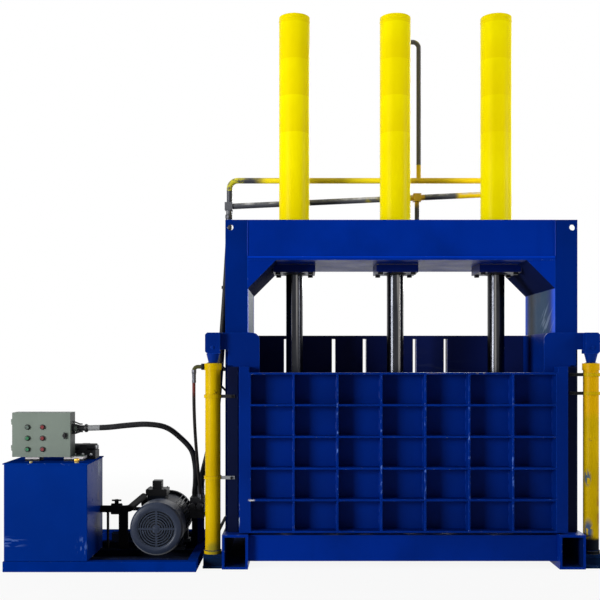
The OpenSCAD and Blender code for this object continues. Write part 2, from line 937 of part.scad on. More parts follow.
module press_rod(x) {
    flange_top = platen_top + rod_flange_t;
    color(steel) {
        rod_z(x, 0, platen_top, flange_top, rod_flange_d);
        rod_z(x, 0, platen_top, piston_z + piston_h, rod_d);
        rod_z(x, 0, piston_z, piston_z + piston_h, cyl_bore - 2 * run_gap);
        for (a = [22.5 : 45 : 360])
            translate([x, 0, 0])
                rotate([0, 0, a])
                    hex_z(rod_flange_d / 2 - 30, 0, flange_top - 1, flange_top + bolt_h, bolt_d);
    }
}

module left_press_rod() {
    press_rod(cyl_x[0]);
}

module centre_press_rod() {
    press_rod(cyl_x[1]);
}

module right_press_rod() {
    press_rod(cyl_x[2]);
}

module platen_rib(x) {
    floor_z = platen_base + platen_plate;
    yz_plate(x - 8, x + 8)
        polygon([
            [-platen_y, platen_base], [platen_y, platen_base], [platen_y, floor_z + 30],
            [pad_w / 2, platen_top - 1], [-pad_w / 2, platen_top - 1], [-platen_y, floor_z + 30]
        ]);
}

module platen() {
    color(blue) {
        box([-platen_x, -platen_y, platen_base], [platen_x, platen_y, platen_base + platen_plate]);
        box([-platen_x, -pad_w / 2, platen_top - platen_plate], [platen_x, pad_w / 2, platen_top]);
        for (y = [-pad_w / 2 + 20, pad_w / 2 - 36])
            box([-platen_x, y, platen_base], [platen_x, y + 16, platen_top]);
        for (x = cyl_x)
            platen_rib(x);
        both_sides() {
            platen_rib(platen_x - 8);
            platen_rib(cyl_pitch / 2);
        }
    }
}

module platen_shoes() {
    color(slate)
        strips(platen_x, -platen_y, platen_y, shoe_z, platen_base);
}

// Gate cylinders

module lift_cylinder() {
    base_z = bracket_h + lift_base_t;
    difference() {
        union() {
            rod_z(lift_x, lift_y, bracket_h, base_z, lift_od + 14);
            rod_z(lift_x, lift_y, bracket_h, lift_top, lift_od);
            rod_z(lift_x, lift_y, lift_top - head_h, lift_top, head_od);
            rod_y(lift_x, lift_y, lift_y + lift_od / 2 + 14, feed_z, 1.8 * feed_d);
        }
        rod_z(lift_x, lift_y, base_z + lift_floor_t, lift_top - head_h, lift_bore);
        rod_z(lift_x, lift_y, lift_top - head_h - 1, lift_top + 1, lift_rod_d + 2 * run_gap);
    }
}

module left_lift_cylinder() {
    color(yellow) {
        mirror([1, 0, 0])
            lift_cylinder();
        pipe_run(
            [[-lift_x - 44, lift_y, lift_port_z], [lift_hose_x, lift_y, lift_port_z], lift_hose_route[0]],
            lift_hose_d + 4,
            lift_hose_d + 4
        );
    }
}

module right_lift_cylinder() {
    color(yellow)
        lift_cylinder();
}

module lift_brackets() {
    out = lift_x + lift_od / 2 + 8;
    color(blue)
        both_sides() {
            box([foot_out, lift_y - 90, 0], [out, lift_y + 90, 16]);
            box([foot_out, lift_y - 62, bracket_h - 20], [out, lift_y + 62, bracket_h]);
            for (y = [lift_y - 54, lift_y - 8, lift_y + 38])
                box([foot_out, y, 0], [out, y + 16, bracket_h]);
        }
}

module lift_clamp(z) {
    difference() {
        union() {
            rod_z(lift_x, lift_y, z, z + clamp_h, lift_od + 16);
            box([guide_lip_x + 20, guide_front - 8, z], [lift_x - lift_od / 2, guide_front, z + clamp_h]);
        }
        rod_z(lift_x, lift_y, z - 1, z + clamp_h + 1, lift_od + 2 * run_gap);
    }
}

module lift_clamps() {
    color(grey) {
        for (down = right_clamps)
            lift_clamp(lift_top - down);
        mirror([1, 0, 0])
            for (down = left_clamps)
                lift_clamp(lift_top - down);
    }
}

// Pipes and hoses

module pressure_pipe() {
    color(yellow) {
        pipe_run(
            [pressure_route[0], [drop_x, upper_y, upper_z], [header_end, upper_y, upper_z]],
            header_d,
            bend_r
        );
        for (x = [cyl_x[0], cyl_x[2]])
            pipe_run(
                [[x, upper_y, upper_z], [x, upper_y, cap_port_z], [x, port_y, cap_port_z]],
                branch_d,
                branch_r
            );
        pipe_run(
            [
                [branch_x, upper_y, upper_z], [branch_x, upper_y, cap_port_z],
                [cyl_x[1], upper_y, cap_port_z], [cyl_x[1], port_y, cap_port_z]
            ],
            branch_d,
            branch_r
        );
    }
}

function lower_at(x) = lower_z + lower_rise * (x - drop_x) / (header_end - drop_x);

// A forged block where pipes meet
module tee_block(at) {
    h = tee_w / 2;
    box(at - [h, h, h], at + [h, h, h]);
}

module return_pipe() {
    drop = [drop_x, lower_y, lower_z];
    middle_x = branch_x - 20;
    tee_drop = tee_w / 2 - 1;
    color(slate) {
        leg(drop, [header_end, lower_y, lower_at(header_end)], header_d);
        rod_z(drop_x, lower_y, lower_z - lower_drop, lower_z - tee_drop, header_d);
        tee_block(drop);
        for (x = [cyl_x[0], middle_x, cyl_x[2]])
            tee_block([x, lower_y, lower_at(x)]);
        for (x = [cyl_x[0], cyl_x[2]])
            pipe_run(
                [[x, port_y, rod_port_z], [x, lower_y, rod_port_z], [x, lower_y, lower_at(x) - tee_drop]],
                branch_d,
                branch_r
            );
        pipe_run(
            [
                [middle_x, lower_y, lower_at(middle_x) - tee_drop], [middle_x, lower_y, rod_port_z],
                [cyl_x[1], lower_y, rod_port_z], [cyl_x[1], port_y, rod_port_z]
            ],
            branch_d,
            branch_r
        );
    }
}

module lift_feed_pipe() {
    port = lift_y + lift_od / 2 + 14;
    tee_y = manifold_y0 + 30;
    tee_z = manifold_z0 + 30;
    color(black) {
        pipe_run(
            [
                [-lift_x, port, feed_z], [-lift_x, feed_back, feed_z],
                [lift_x, feed_back, feed_z], [lift_x, port, feed_z]
            ],
            feed_d,
            feed_r
        );
        pipe_run(
            [[manifold_x1, tee_y, tee_z], [-lift_x, tee_y, tee_z], [-lift_x, tee_y, feed_z]],
            feed_d - 4,
            feed_r
        );
    }
}

// Point of a route at height z, between its points i and i + 1
function route_at(p, i, z) = p[i] + (p[i + 1] - p[i]) * (z - p[i][2]) / (p[i + 1][2] - p[i][2]);

// A clip from the left column's web round the two hoses, at two points of their routes
module hose_clamp(a, b) {
    web_x = -half_w + web_inset;
    z = a[2];
    difference() {
        union() {
            rod_z(a[0], a[1], z - 10, z + 10, hose_d + 16);
            rod_z(b[0], b[1], z - 10, z + 10, hose_d + 16);
            box([a[0], b[1], z - 10], [web_x, a[1], z + 10]);
        }
        rod_z(a[0], a[1], z - 11, z + 11, hose_d + 6);
        rod_z(b[0], b[1], z - 11, z + 11, hose_d + 6);
    }
}

module hose_clamps() {
    color(black) {
        for (i = [3, 5])
            hose_clamp(pressure_route[i], route_at(return_route, i - 1, pressure_route[i][2]));
    }
}

module pressure_hose() {
    color(black)
        hose(pressure_route, hose_d, ring_step, [0, 0, -1], [0, 0, -1]);
}

module return_hose() {
    color(black)
        hose(return_route, hose_d, ring_step, [0, 0, -1], [0, 0, -1]);
}

module lift_hose() {
    color(black)
        hose(lift_hose_route, lift_hose_d, 64, [0, 0, -1], [0, 0, -1]);
}

module control_cable() {
    color(black)
        hose(cable_route, cable_d, ring_step, [1, 0, 0], [0, 0, -1]);
}

// Power unit

module skid() {
    w = skid_wall;
    stand_x0 = manifold_x0 + 10;
    stand_x1 = manifold_x1 - 10;
    stand_y0 = manifold_y0 + 30;
    stand_y1 = manifold_y1 - 30;
    color(blue) {
        difference() {
            box([unit_x0, unit_y0, 0], [unit_x1, unit_y1, skid_h]);
            box([unit_x0 + rail_w, unit_y0 + rail_w, -1], [unit_x1 - rail_w, unit_y1 - rail_w, skid_h + 1]);
            box([unit_x0 + w, unit_y0 + w, w], [unit_x1 - w, unit_y1 - w, skid_h - w]);
        }
        for (y = rail_y)
            difference() {
                box([unit_x0 + 1, y - rail_w / 2, 0], [unit_x1 - 1, y + rail_w / 2, skid_h]);
                box([unit_x0 + w, y - rail_w / 2 + w, -1], [unit_x1 - w, y + rail_w / 2 - w, skid_h - w]);
            }
        box([stand_x0, stand_y0, skid_h - w], [stand_x1, stand_y0 + 10, manifold_z0]);
        box([stand_x0, stand_y1 - 10, skid_h - w], [stand_x1, stand_y1, manifold_z0]);
        box([stand_x0 + 35, stand_y0, skid_h - w], [stand_x0 + 45, stand_y1, manifold_z0]);
    }
}

module oil_tank() {
    w = tank_wall;
    color(blue)
        difference() {
            box([tank_x0, tank_y0, skid_h], [tank_x1, tank_y1, tank_top]);
            box([tank_x0 + w, tank_y0 + w, skid_h + w], [tank_x1 - w, tank_y1 - w, tank_top + 1]);
        }
}

module tank_lid() {
    color(blue)
        difference() {
            union() {
                box(
                    [tank_x0 - lid_lip, tank_y0 - lid_lip, tank_top],
                    [tank_x1 + lid_lip, tank_y1 + lid_lip, lid_top]
                );
                rod_z(filler_x, filler_y, tank_top, lid_top + neck_h, filler_hole + 12);
                rod_z(box_x0 + 154, filler_y - 12, tank_top, lid_top + 12, 20);
            }
            rod_z(filler_x, filler_y, tank_top - 1, lid_top + neck_h + 1, filler_hole);
        }
}

module filler_cap() {
    rim = lid_top + neck_h;
    color(brass) {
        rod_z(filler_x, filler_y, rim, rim + 22, filler_hole + 18);
        rod_z(filler_x, filler_y, lid_top, rim + 1, filler_hole - 2 * run_gap);
    }
}

module valve_block() {
    x0 = tank_x1 - 176;
    y0 = tank_y1 - 190;
    color(black) {
        box([x0, y0, lid_top], [x0 + 170, y0 + 110, lid_top + 58]);
        for (y = [y0 + 30, y0 + 80]) {
            rod_x(x0 + 8, x0 + 162, y, lid_top + 76, 44);
            box([x0 + 60, y - 22, lid_top + 50], [x0 + 110, y + 22, lid_top + 98]);
        }
    }
}

module hose_manifold() {
    mid_z = (manifold_z0 + manifold_z1) / 2;
    color(black) {
        box([manifold_x0, manifold_y0, manifold_z0], [manifold_x1, manifold_y1, manifold_z1]);
        for (x = [manifold_x0 + 26, manifold_x1 - 26]) {
            rod_y(x, manifold_y0 - 70, manifold_y0 + 1, mid_z + 20, 42);
            rod_y(x, manifold_y0 - 82, manifold_y0 - 69, mid_z + 20, 16);
        }
    }
}

module motor_fins() {
    circle(d = motor_d - 44);
    for (a = [0 : 9 : 351])
        if (a < 243 || a > 297)
            rotate(a)
                translate([motor_d / 2 - 30, -2.5])
                    square([30, 5]);
}

module motor_frame() {
    color(slate)
        difference() {
            union() {
                motor_round(cowl_end)
                    linear_extrude(motor_l - cowl_l - 1)
                        motor_fins();
                rod_y(motor_x, cowl_end, cowl_end + 12, motor_z, cowl_d);
                rod_y(motor_x, motor_y1 - shield_t, motor_y1, motor_z, motor_d);
                for (y = motor_feet_y) {
                    box([motor_x - 165, y - 36, skid_h], [motor_x + 165, y + 36, skid_h + 22]);
                    box([motor_x - 150, y - 26, skid_h], [motor_x - 96, y + 26, motor_z - 60]);
                    box([motor_x + 96, y - 26, skid_h], [motor_x + 150, y + 26, motor_z - 60]);
                }
                box(
                    [terminal_x + 10, terminal_y + 10, motor_z],
                    [motor_x + 20, terminal_y + terminal_w - 10, terminal_z]
                );
            }
            rod_y(motor_x, cowl_end + shield_t, motor_y1 - shield_t, motor_z, rotor_space);
            rod_y(motor_x, cowl_end - 1, motor_y1 + 1, motor_z, shaft_d + 2 * run_gap);
        }
}

module motor_fan_cowl() {
    r = cowl_d / 2;
    g = r - 50;
    color(slate)
        difference() {
            motor_round(motor_y0)
                rotate_extrude()
                    polygon([
                        [0, 8], [g, 8], [g, 4], [g + 8, 0], [r - 26, 0], [r - 10, 6], [r, 20],
                        [r, cowl_l], [r - 3, cowl_l], [r - 3, 22], [r - 12, 9], [r - 26, 3],
                        [g + 10, 3], [g + 4, 11], [0, 11]
                    ]);
            motor_round(motor_y0 - 1)
                linear_extrude(20)
                    difference() {
                        for (k = [30 : 16 : g - 12])
                            difference() {
                                circle(k + 9);
                                circle(k);
                            }
                        square([2 * r, 10], center = true);
                        square([10, 2 * r], center = true);
                    }
        }
}

module motor_terminal_box() {
    color(black) {
        box(
            [terminal_x, terminal_y, terminal_z],
            [terminal_x + terminal_w, terminal_y + terminal_w, terminal_z + 44]
        );
        box(
            [terminal_x + 44, terminal_y + 20, terminal_z + 40],
            [terminal_x + 108, terminal_y + 100, terminal_z + 102]
        );
    }
}

module motor_shaft() {
    color(steel) {
        rod_y(motor_x, fan_y - 8, motor_y1 + 55, motor_z, shaft_d);
        rod_y(motor_x, cowl_end + 60, motor_y1 - 60, motor_z, rotor_space - 4);
    }
}

module motor_fan() {
    r = cowl_d / 2 - 26;
    color(black)
        difference() {
            union() {
                rod_y(motor_x, fan_y, fan_y + 64, motor_z, 2 * shaft_d);
                rod_y(motor_x, fan_y + 58, fan_y + 64, motor_z, 2 * r);
                motor_round(fan_y + 6)
                    for (a = [0 : 45 : 315])
                        rotate([0, 0, a])
                            translate([shaft_d - 4, -2, 0])
                                cube([r - shaft_d, 4, 54]);
            }
            rod_y(motor_x, fan_y - 1, fan_y + 65, motor_z, shaft_d);
        }
}

module pump_coupling() {
    color(steel)
        difference() {
            union() {
                rod_y(motor_x, coupling_y, coupling_y + 80, motor_z, 110);
                rod_y(motor_x, coupling_y + 79, pump_y0 + 20, motor_z, stub_d);
            }
            rod_y(motor_x, coupling_y - 1, motor_y1 + 55, motor_z, shaft_d);
        }
}

module bell_housing() {
    color(slate)
        difference() {
            union() {
                rod_y(motor_x, motor_y1, motor_y1 + 15, motor_z, 300);
                rod_y(motor_x, motor_y1, pump_y0, motor_z, 220);
            }
            rod_y(motor_x, motor_y1 - 1, pump_y0 - 15, motor_z, 160);
            rod_y(motor_x, pump_y0 - 16, pump_y0 + 1, motor_z, stub_d + 20);
            for (side = [-1, 1])
                box(
                    [motor_x + side * 120 - 60, motor_y1 + 30, motor_z - 40],
                    [motor_x + side * 120 + 60, pump_y0 - 30, motor_z + 40]
                );
        }
}

module pump() {
    h = pump_w / 2;
    color(slate)
        difference() {
            union() {
                rod_y(motor_x, pump_y0, pump_y0 + 25, motor_z, 200);
                box(
                    [motor_x - h, pump_y0 + 20, motor_z - h],
                    [motor_x + h, pump_y0 + pump_l - 20, motor_z + h]
                );
                rod_y(motor_x, pump_y0 + pump_l - 21, pump_y0 + pump_l, motor_z, 130);
            }
            rod_y(motor_x, pump_y0 - 1, pump_y0 + 22, motor_z, stub_d + 2 * run_gap);
        }
}

module suction_pipe() {
    color(black) {
        pipe_run(
            [
                [tank_x1, suction_y, suction_z], [suction_x, suction_y, suction_z],
                [suction_x, pump_port_y, suction_z], [suction_x, pump_port_y, motor_z],
                [motor_x - pump_w / 2, pump_port_y, motor_z]
            ],
            suction_d,
            suction_r
        );
        rod_x(valve_x - 35, valve_x + 35, suction_y, suction_z, suction_d + 28);
        rod_z(valve_x, suction_y, suction_z, suction_z + stem_h, 28);
        box([strut_x - 6, suction_y - 15, skid_h], [strut_x + 6, suction_y + 15, suction_z]);
        box([stand_x - 32, suction_y - 6, skid_h], [stand_x + 32, suction_y + 6, suction_z]);
    }
}

module suction_handle() {
    z = suction_z + stem_h;
    color(black) {
        rod_z(valve_x, suction_y, z, z + 14, 26);
        box([valve_x - 32, suction_y - 7, z + 2], [valve_x + 32, suction_y + 7, z + 12]);
    }
}

module oil_lines() {
    pump_line_x = manifold_x0 + 50;
    tank_line_x = manifold_x0 + 20;
    pump_line_z = manifold_z0 + 37;
    tank_port_z = manifold_z0 + 110;
    tank_line_z = suction_z - 120;
    tank_in_x = (tank_x0 + tank_x1) / 2;
    color(black) {
        pipe_run(
            [
                [motor_x + pump_w / 2, pump_port_y, pump_line_z], [pump_line_x, pump_port_y, pump_line_z],
                [pump_line_x, manifold_y1, pump_line_z]
            ],
            oil_line_d,
            feed_r
        );
        pipe_run(
            [
                [tank_line_x, manifold_y1, tank_port_z], [tank_line_x, oil_line_y, tank_port_z],
                [tank_line_x, oil_line_y, tank_line_z], [tank_in_x, oil_line_y, tank_line_z],
                [tank_in_x, tank_y1, tank_line_z]
            ],
            oil_line_d,
            feed_r
        );
    }
}

// Control box

module control_box() {
    w = box_wall;
    color(grey) {
        difference() {
            box([box_x0, box_front, box_z0], [box_x1, box_back, box_z1]);
            box([box_x0 + w, box_front - 1, box_z0 + w], [box_x1 - w, box_back - w, box_z1 - w]);
        }
        rod_x(box_x1, gland_x, cable_y, cable_z, cable_d + 10);
        for (x = [box_x0 + 81, box_x1 - 48])
            box([x, box_front, lid_top], [x + (x < box_x1 - 60 ? 92 : 128), box_back, box_z0]);
        for (z = hinge_z) {
            rod_z(hinge_x, hinge_y, z, z + knuckle_l, hinge_d);
            rod_z(hinge_x, hinge_y, z, z + 2 * knuckle_l, hinge_pin_d);
            box([hinge_x - 3, hinge_y, z], [box_x0, hinge_y + 14, z + knuckle_l]);
        }
    }
}

module button_places() {
    for (x = button_x, z = button_z)
        translate([x, 0, z])
            children();
}

module control_door() {
    w = box_wall;
    color(grey)
        difference() {
            union() {
                difference() {
                    box([box_x0, door_front, box_z0], [box_x1, door_back, box_z1]);
                    box([box_x0 + w, door_front + w, box_z0 + w], [box_x1 - w, door_back + 1, box_z1 - w]);
                }
                button_places() {
                    rod_y(0, door_front - bezel_t, door_front + 1, 0, bezel_d);
                    rod_y(0, door_front, door_back + 30, 0, button_d + 6);
                }
                for (z = hinge_z) {
                    z0 = z + knuckle_l + 0.5;
                    rod_z(hinge_x, hinge_y, z0, z0 + knuckle_l, hinge_d);
                    box([hinge_x - 3, hinge_y - 14, z0], [box_x0, hinge_y, z0 + knuckle_l]);
                }
            }
            button_places()
                rod_y(0, door_front - bezel_t - 1, door_front + button_bore_l, 0, button_d + 2 * run_gap);
            rod_y(lock_x, door_front - 1, door_front + w + 1, lock_z, 14 + 2 * run_gap);
            for (z = hinge_z)
                rod_z(hinge_x, hinge_y, z + knuckle_l, z + 2 * knuckle_l + 1, hinge_pin_d + 2 * run_gap);
        }
}

module door_lock() {
    color(black) {
        rod_y(lock_x, door_front - 8, door_front, lock_z, 30);
        box([lock_x - 5, door_front - 18, lock_z - 21], [lock_x + 5, door_front - 7, lock_z + 21]);
        rod_y(lock_x, door_front - 1, door_front + 9, lock_z, 14);
        rod_y(lock_x, door_front + box_wall, door_front + 9, lock_z, 22);
    }
}

module push_button(i, j) {
    inner = door_front + button_bore_l - button_travel - 1;
    rod_y(button_x[i], door_front - bezel_t - button_out, inner, button_z[j], button_d);
}

module start_button_1() {
    color(green)
        push_button(0, 0);
}

module start_button_2() {
    color(green)
        push_button(0, 1);
}

module start_button_3() {
    color(green)
        push_button(0, 2);
}

module stop_button_1() {
    color(red)
        push_button(1, 0);
}

module stop_button_2() {
    color(red)
        push_button(1, 1);
}

module stop_button_3() {
    color(red)
        push_button(1, 2);
}

base_frame();
bed_planks();
left_column();
right_column();
top_beam();
side_walls();
back_wall();
gate_guides();
gate_plate();
gate_rib_grid();
left_lift_ear();
right_lift_ear();
lift_rods();
left_press_cylinder();
centre_press_cylinder();
right_press_cylinder();
cylinder_flange_bolts();
left_press_rod();
centre_press_rod();
right_press_rod();
platen();
platen_shoes();
left_lift_cylinder();
right_lift_cylinder();
lift_brackets();
lift_clamps();
pressure_pipe();
return_pipe();
lift_feed_pipe();
hose_clamps();
pressure_hose();
return_hose();
lift_hose();
control_cable();
skid();
oil_tank();
tank_lid();
filler_cap();
valve_block();
hose_manifold();
motor_frame();
motor_fan_cowl();
motor_terminal_box();
motor_shaft();
motor_fan();
pump_coupling();
bell_housing();
pump();
suction_pipe();
suction_handle();
oil_lines();
control_box();
control_door();
door_lock();
start_button_1();
start_button_2();
start_button_3();
stop_button_1();
stop_button_2();
stop_button_3();
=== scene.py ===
"""Looks of a vertical recycling baler: its paint, steel, hoses, welds and small fittings."""
import logging
import math
from collections.abc import Sequence
from dataclasses import dataclass
from enum import Enum
from typing import ClassVar

import bmesh
import bpy
from bmesh.types import BMEdge, BMesh, BMFace, BMVert
from bpy.types import Material, Node, NodeSocket, NodeTree, Object
from mathutils import Matrix, Vector


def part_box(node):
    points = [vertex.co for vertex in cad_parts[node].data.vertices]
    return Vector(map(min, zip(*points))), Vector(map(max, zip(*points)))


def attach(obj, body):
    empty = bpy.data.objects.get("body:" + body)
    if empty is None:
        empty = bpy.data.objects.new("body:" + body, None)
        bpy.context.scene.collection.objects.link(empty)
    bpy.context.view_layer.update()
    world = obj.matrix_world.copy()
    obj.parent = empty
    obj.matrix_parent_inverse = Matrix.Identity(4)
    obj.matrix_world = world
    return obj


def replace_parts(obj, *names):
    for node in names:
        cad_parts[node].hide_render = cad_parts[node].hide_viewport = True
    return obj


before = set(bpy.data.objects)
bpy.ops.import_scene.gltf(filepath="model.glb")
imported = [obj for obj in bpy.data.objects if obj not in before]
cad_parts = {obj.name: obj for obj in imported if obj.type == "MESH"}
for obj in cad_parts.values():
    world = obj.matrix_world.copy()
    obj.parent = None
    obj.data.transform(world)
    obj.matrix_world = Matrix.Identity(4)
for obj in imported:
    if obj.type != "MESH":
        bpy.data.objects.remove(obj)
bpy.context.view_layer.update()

LOG = logging.getLogger("baler")

Colour = tuple[float, float, float, float]
Point = tuple[float, float, float]
Outline = Sequence[tuple[float, float]]


class Body(Enum):
    """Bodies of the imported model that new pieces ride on."""

    FRAME = "frame"
    GATE = "gate"
    DOOR = "control_door"
    FILLER_CAP = "filler_cap"


class Slot(Enum):
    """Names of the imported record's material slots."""

    BLUE = "blue_paint"
    YELLOW = "yellow_paint"
    BLACK = "black_paint"
    ZINC = "zinc_steel"
    MOTOR = "motor_paint"
    BRASS = "brass"
    RUBBER = "hose_rubber"
    SLEEVE = "cable_sleeve"
    PLASTIC = "black_plastic"
    GREEN = "green_plastic"
    RED = "red_plastic"


class Axis(Enum):
    """Directions that turned pieces stand along."""

    X = (1.0, 0.0, 0.0)
    Y = (0.0, 1.0, 0.0)
    Z = (0.0, 0.0, 1.0)


def stand(direction: Vector) -> Matrix:
    """Rotation that brings +Z onto a direction."""
    return direction.to_track_quat("Z", "Y").to_matrix().to_4x4()


def put(name: str, data: bpy.types.ID) -> Object:
    """Adds an object to the scene.

    Args:
        name: Its name.
        data: Its mesh, curve, lamp or camera.

    Returns:
        The object, at the origin.
    """
    made = bpy.data.objects.new(name, data)
    bpy.context.scene.collection.objects.link(made)
    return made


def tone(red: int, green: int, blue: int) -> Colour:
    """Linear colour of a display colour.

    Args:
        red: Red, 0 to 255.
        green: Green, 0 to 255.
        blue: Blue, 0 to 255.

    Returns:
        The colour as the shader sockets take it.
    """
    parts = [c / 255 for c in (red, green, blue)]
    linear = [c / 12.92 if c <= 0.04045 else ((c + 0.055) / 1.055) ** 2.4 for c in parts]
    return (linear[0], linear[1], linear[2], 1.0)


BLUE = tone(0, 42, 146)
DEEP_BLUE = tone(0, 32, 116)
GATE_BLUE = tone(0, 35, 118)
GATE_SHADE = tone(0, 27, 96)
YELLOW = tone(241, 226, 0)
OCHRE = tone(230, 208, 0)
PIPE_DARK = tone(56, 58, 66)
BLACK = tone(17, 17, 19)
SOOT = tone(26, 26, 29)

EVEN = (1.0, 1.0, 1.0)
CRISP = 0.0006


class Graph:
    """Node tree of one material, with short calls for the nodes that the finishes use."""

    def __init__(self, name: str) -> None:
        """Starts a material with its shader and Object coordinates.

        Args:
            name: Name of the material.
        """
        self.material = bpy.data.materials.new(name)
        self.material.use_nodes = True
        self.tree = self.material.node_tree
        self.shader = self.tree.nodes["Principled BSDF"]
        self.place = self.add("ShaderNodeTexCoord").outputs["Object"]

    def feed(self, socket: NodeSocket, value: object) -> None:
        """Links a socket to another, or sets its constant.

        Args:
            socket: The input to fill.
            value: An output socket, a number, a vector or a colour.
        """
        if isinstance(value, NodeSocket):
            self.tree.links.new(value, socket)
        else:
            socket.default_value = value

    def fill(self, node: Node, **inputs: object) -> Node:
        """Feeds several inputs of a node.

        Args:
            node: The node.
            inputs: Value of each input, its name with underscores for spaces.

        Returns:
            The node.
        """
        for name, value in inputs.items():
            self.feed(node.inputs[name.replace("_", " ")], value)
        return node

    def add(self, kind: str, **inputs: object) -> Node:
        """A new node of that kind, with its inputs filled."""
        return self.fill(self.tree.nodes.new(kind), **inputs)

    def surface(self, **inputs: object) -> Material:
        """Fills the shader's inputs and gives the material."""
        self.fill(self.shader, **inputs)
        return self.material

    def noise(
        self, scale: float, detail: float = 3.0, stretch: Point = EVEN, tilt: float = 0.0,
    ) -> NodeSocket:
        """Cloudy variation over the object.

        Args:
            scale: Features per metre.
            detail: Octaves of finer variation.
            stretch: Factor on each axis, above 1 for finer features along it.
            tilt: Turn of those axes about X, in degrees.

        Returns:
            A value of about 0.2 to 0.8.
        """
        source = self.place
        if tilt:
            turn = (math.radians(tilt), 0.0, 0.0)
            source = self.add("ShaderNodeMapping", Rotation=turn, Vector=source).outputs["Vector"]
        source = self.add("ShaderNodeMapping", Scale=stretch, Vector=source).outputs["Vector"]
        return self.add("ShaderNodeTexNoise", Scale=scale, Detail=detail, Vector=source).outputs["Fac"]

    def step(self, value: NodeSocket, low: float, high: float) -> NodeSocket:
        """Smooth step from 0 at low to 1 at high, or the other way when high is below low.

        Args:
            value: The value to judge.
            low: Value that gives 0.
            high: Value that gives 1.

        Returns:
            The step.
        """
        rising = low <= high
        node = self.add(
            "ShaderNodeMapRange", Value=value, From_Min=min(low, high), From_Max=max(low, high),
            To_Min=float(not rising), To_Max=float(rising),
        )
        node.interpolation_type = "SMOOTHSTEP"
        return node.outputs["Result"]

    def calc(self, operation: str, a: object, b: object = 0.0) -> NodeSocket:
        """Arithmetic on two values.

        Args:
            operation: Name of the operation, such as MULTIPLY.
            a: First value or socket.
            b: Second value or socket.

        Returns:
            The result.
        """
        node = self.add("ShaderNodeMath")
        node.operation = operation
        self.feed(node.inputs[0], a)
        self.feed(node.inputs[1], b)
        return node.outputs["Value"]

    def times(self, product: object, *factors: object) -> NodeSocket:
        """Product of several values, taken in order.

        Args:
            product: First value or socket.
            factors: The other values or sockets.

        Returns:
            The product.
        """
        for factor in factors:
            product = self.calc("MULTIPLY", product, factor)
        return product

    def slope(self, value: object, gain: object, base: object) -> NodeSocket:
        """A value times its gain, on top of a base."""
        return self.calc("ADD", self.times(value, gain), base)

    def vector(self, operation: str, a: NodeSocket, b: object = (0.0, 0.0, 0.0)) -> Node:
        """Arithmetic on two vectors.

        Args:
            operation: Name of the operation, such as DIVIDE.
            a: First vector.
            b: Second vector.

        Returns:
            The node, with its outputs Vector and Value.
        """
        node = self.add("ShaderNodeVectorMath")
        node.operation = operation
        self.feed(node.inputs[0], a)
        self.feed(node.inputs[1], b)
        return node

    def mix(self, amount: object, a: object, b: object) -> NodeSocket:
        """Blend of two colours.

        Args:
            amount: Share of the second colour.
            a: First colour.
            b: Second colour.

        Returns:
            The blended colour.
        """
        node = self.add("ShaderNodeMix")
        node.data_type = "RGBA"
        return self.fill(node, Factor=amount, A=a, B=b).outputs["Result"]

    def part(self, vector: NodeSocket, axis: Axis) -> NodeSocket:
        """One coordinate of a vector."""
        return self.add("ShaderNodeSeparateXYZ", Vector=vector).outputs[axis.name]

    def along(self, axis: Axis) -> NodeSocket:
        """Coordinate of the surface along an axis, in metres."""
        return self.part(self.place, axis)

    def facing(self, axis: Axis) -> NodeSocket:
        """How far the surface faces along an axis, -1 to 1."""
        return self.part(self.add("ShaderNodeNewGeometry").outputs["Normal"], axis)

    def edges(self, width: float) -> NodeSocket:
        """Closeness to a sharp edge.

        Args:
            width: Reach from the edge, in metres.

        Returns:
            0 on flat stretches, rising to about 0.3 on an edge.
        """
        rounded = self.add("ShaderNodeBevel", Radius=width)
        rounded.samples = 4
        flat = self.add("ShaderNodeNewGeometry").outputs["Normal"]
        dot = self.vector("DOT_PRODUCT", rounded.outputs["Normal"], flat)
        return self.calc("SUBTRACT", 1.0, dot.outputs["Value"])

    def relief(self, height: NodeSocket, depth: float) -> None:
        """Bump on the shader's normal, on top of any that is there.

        Args:
            height: Height pattern, 0 to 1.
            depth: Depth of the pattern, in metres.
        """
        bump = self.add("ShaderNodeBump", Distance=depth, Height=height)
        normal = self.shader.inputs["Normal"]
        if normal.is_linked:
            self.feed(bump.inputs["Normal"], normal.links[0].from_socket)
        self.feed(normal, bump.outputs["Normal"])


@dataclass(frozen=True)
class Zone:
    """A stretch of another colour along one axis, with an even or ragged border."""

    axis: Axis
    low: float
    high: float
    colour: Colour
    soft: float = 0.002
    ragged: float = 0.0
    grain: float = 6.0
    patchy: float = 0.0
    mirrored: bool = False
    across: tuple[Axis, float, float] | None = None
    matt: bool = False

    def span(self, graph: Graph, soft: float, axis: Axis, low: float, high: float) -> NodeSocket:
        """Soft mask of a stretch along an axis.

        Args:
            graph: The material's node tree.
            soft: Half width of its borders.
            axis: Axis of the stretch.
            low: Where it starts.
            high: Where it ends.

        Returns:
            1 inside the stretch, 0 outside.
        """
        here = graph.along(axis)
        if self.mirrored and axis is Axis.X:
            here = graph.calc("ABSOLUTE", here)
        if self.ragged:
            cloud = graph.calc("SUBTRACT", graph.noise(self.grain), 0.5)
            here = graph.slope(cloud, 2 * self.ragged, here)
        return graph.times(
            graph.step(here, low - soft, low + soft), graph.step(here, high + soft, high - soft),
        )

    def mask(self, graph: Graph) -> NodeSocket:
        """Where the zone lies.

        Args:
            graph: The material's node tree.

        Returns:
            1 in the zone, 0 outside.
        """
        inside = self.span(graph, self.soft, self.axis, self.low, self.high)
        if self.across:
            inside = graph.times(inside, self.span(graph, min(self.soft, CRISP), *self.across))
        if self.patchy:
            spots = graph.noise(2.5 * self.grain, 4.0)
            inside = graph.times(inside, graph.step(spots, 0.5 - 0.2 * (1 - self.patchy), 0.56))
        return inside


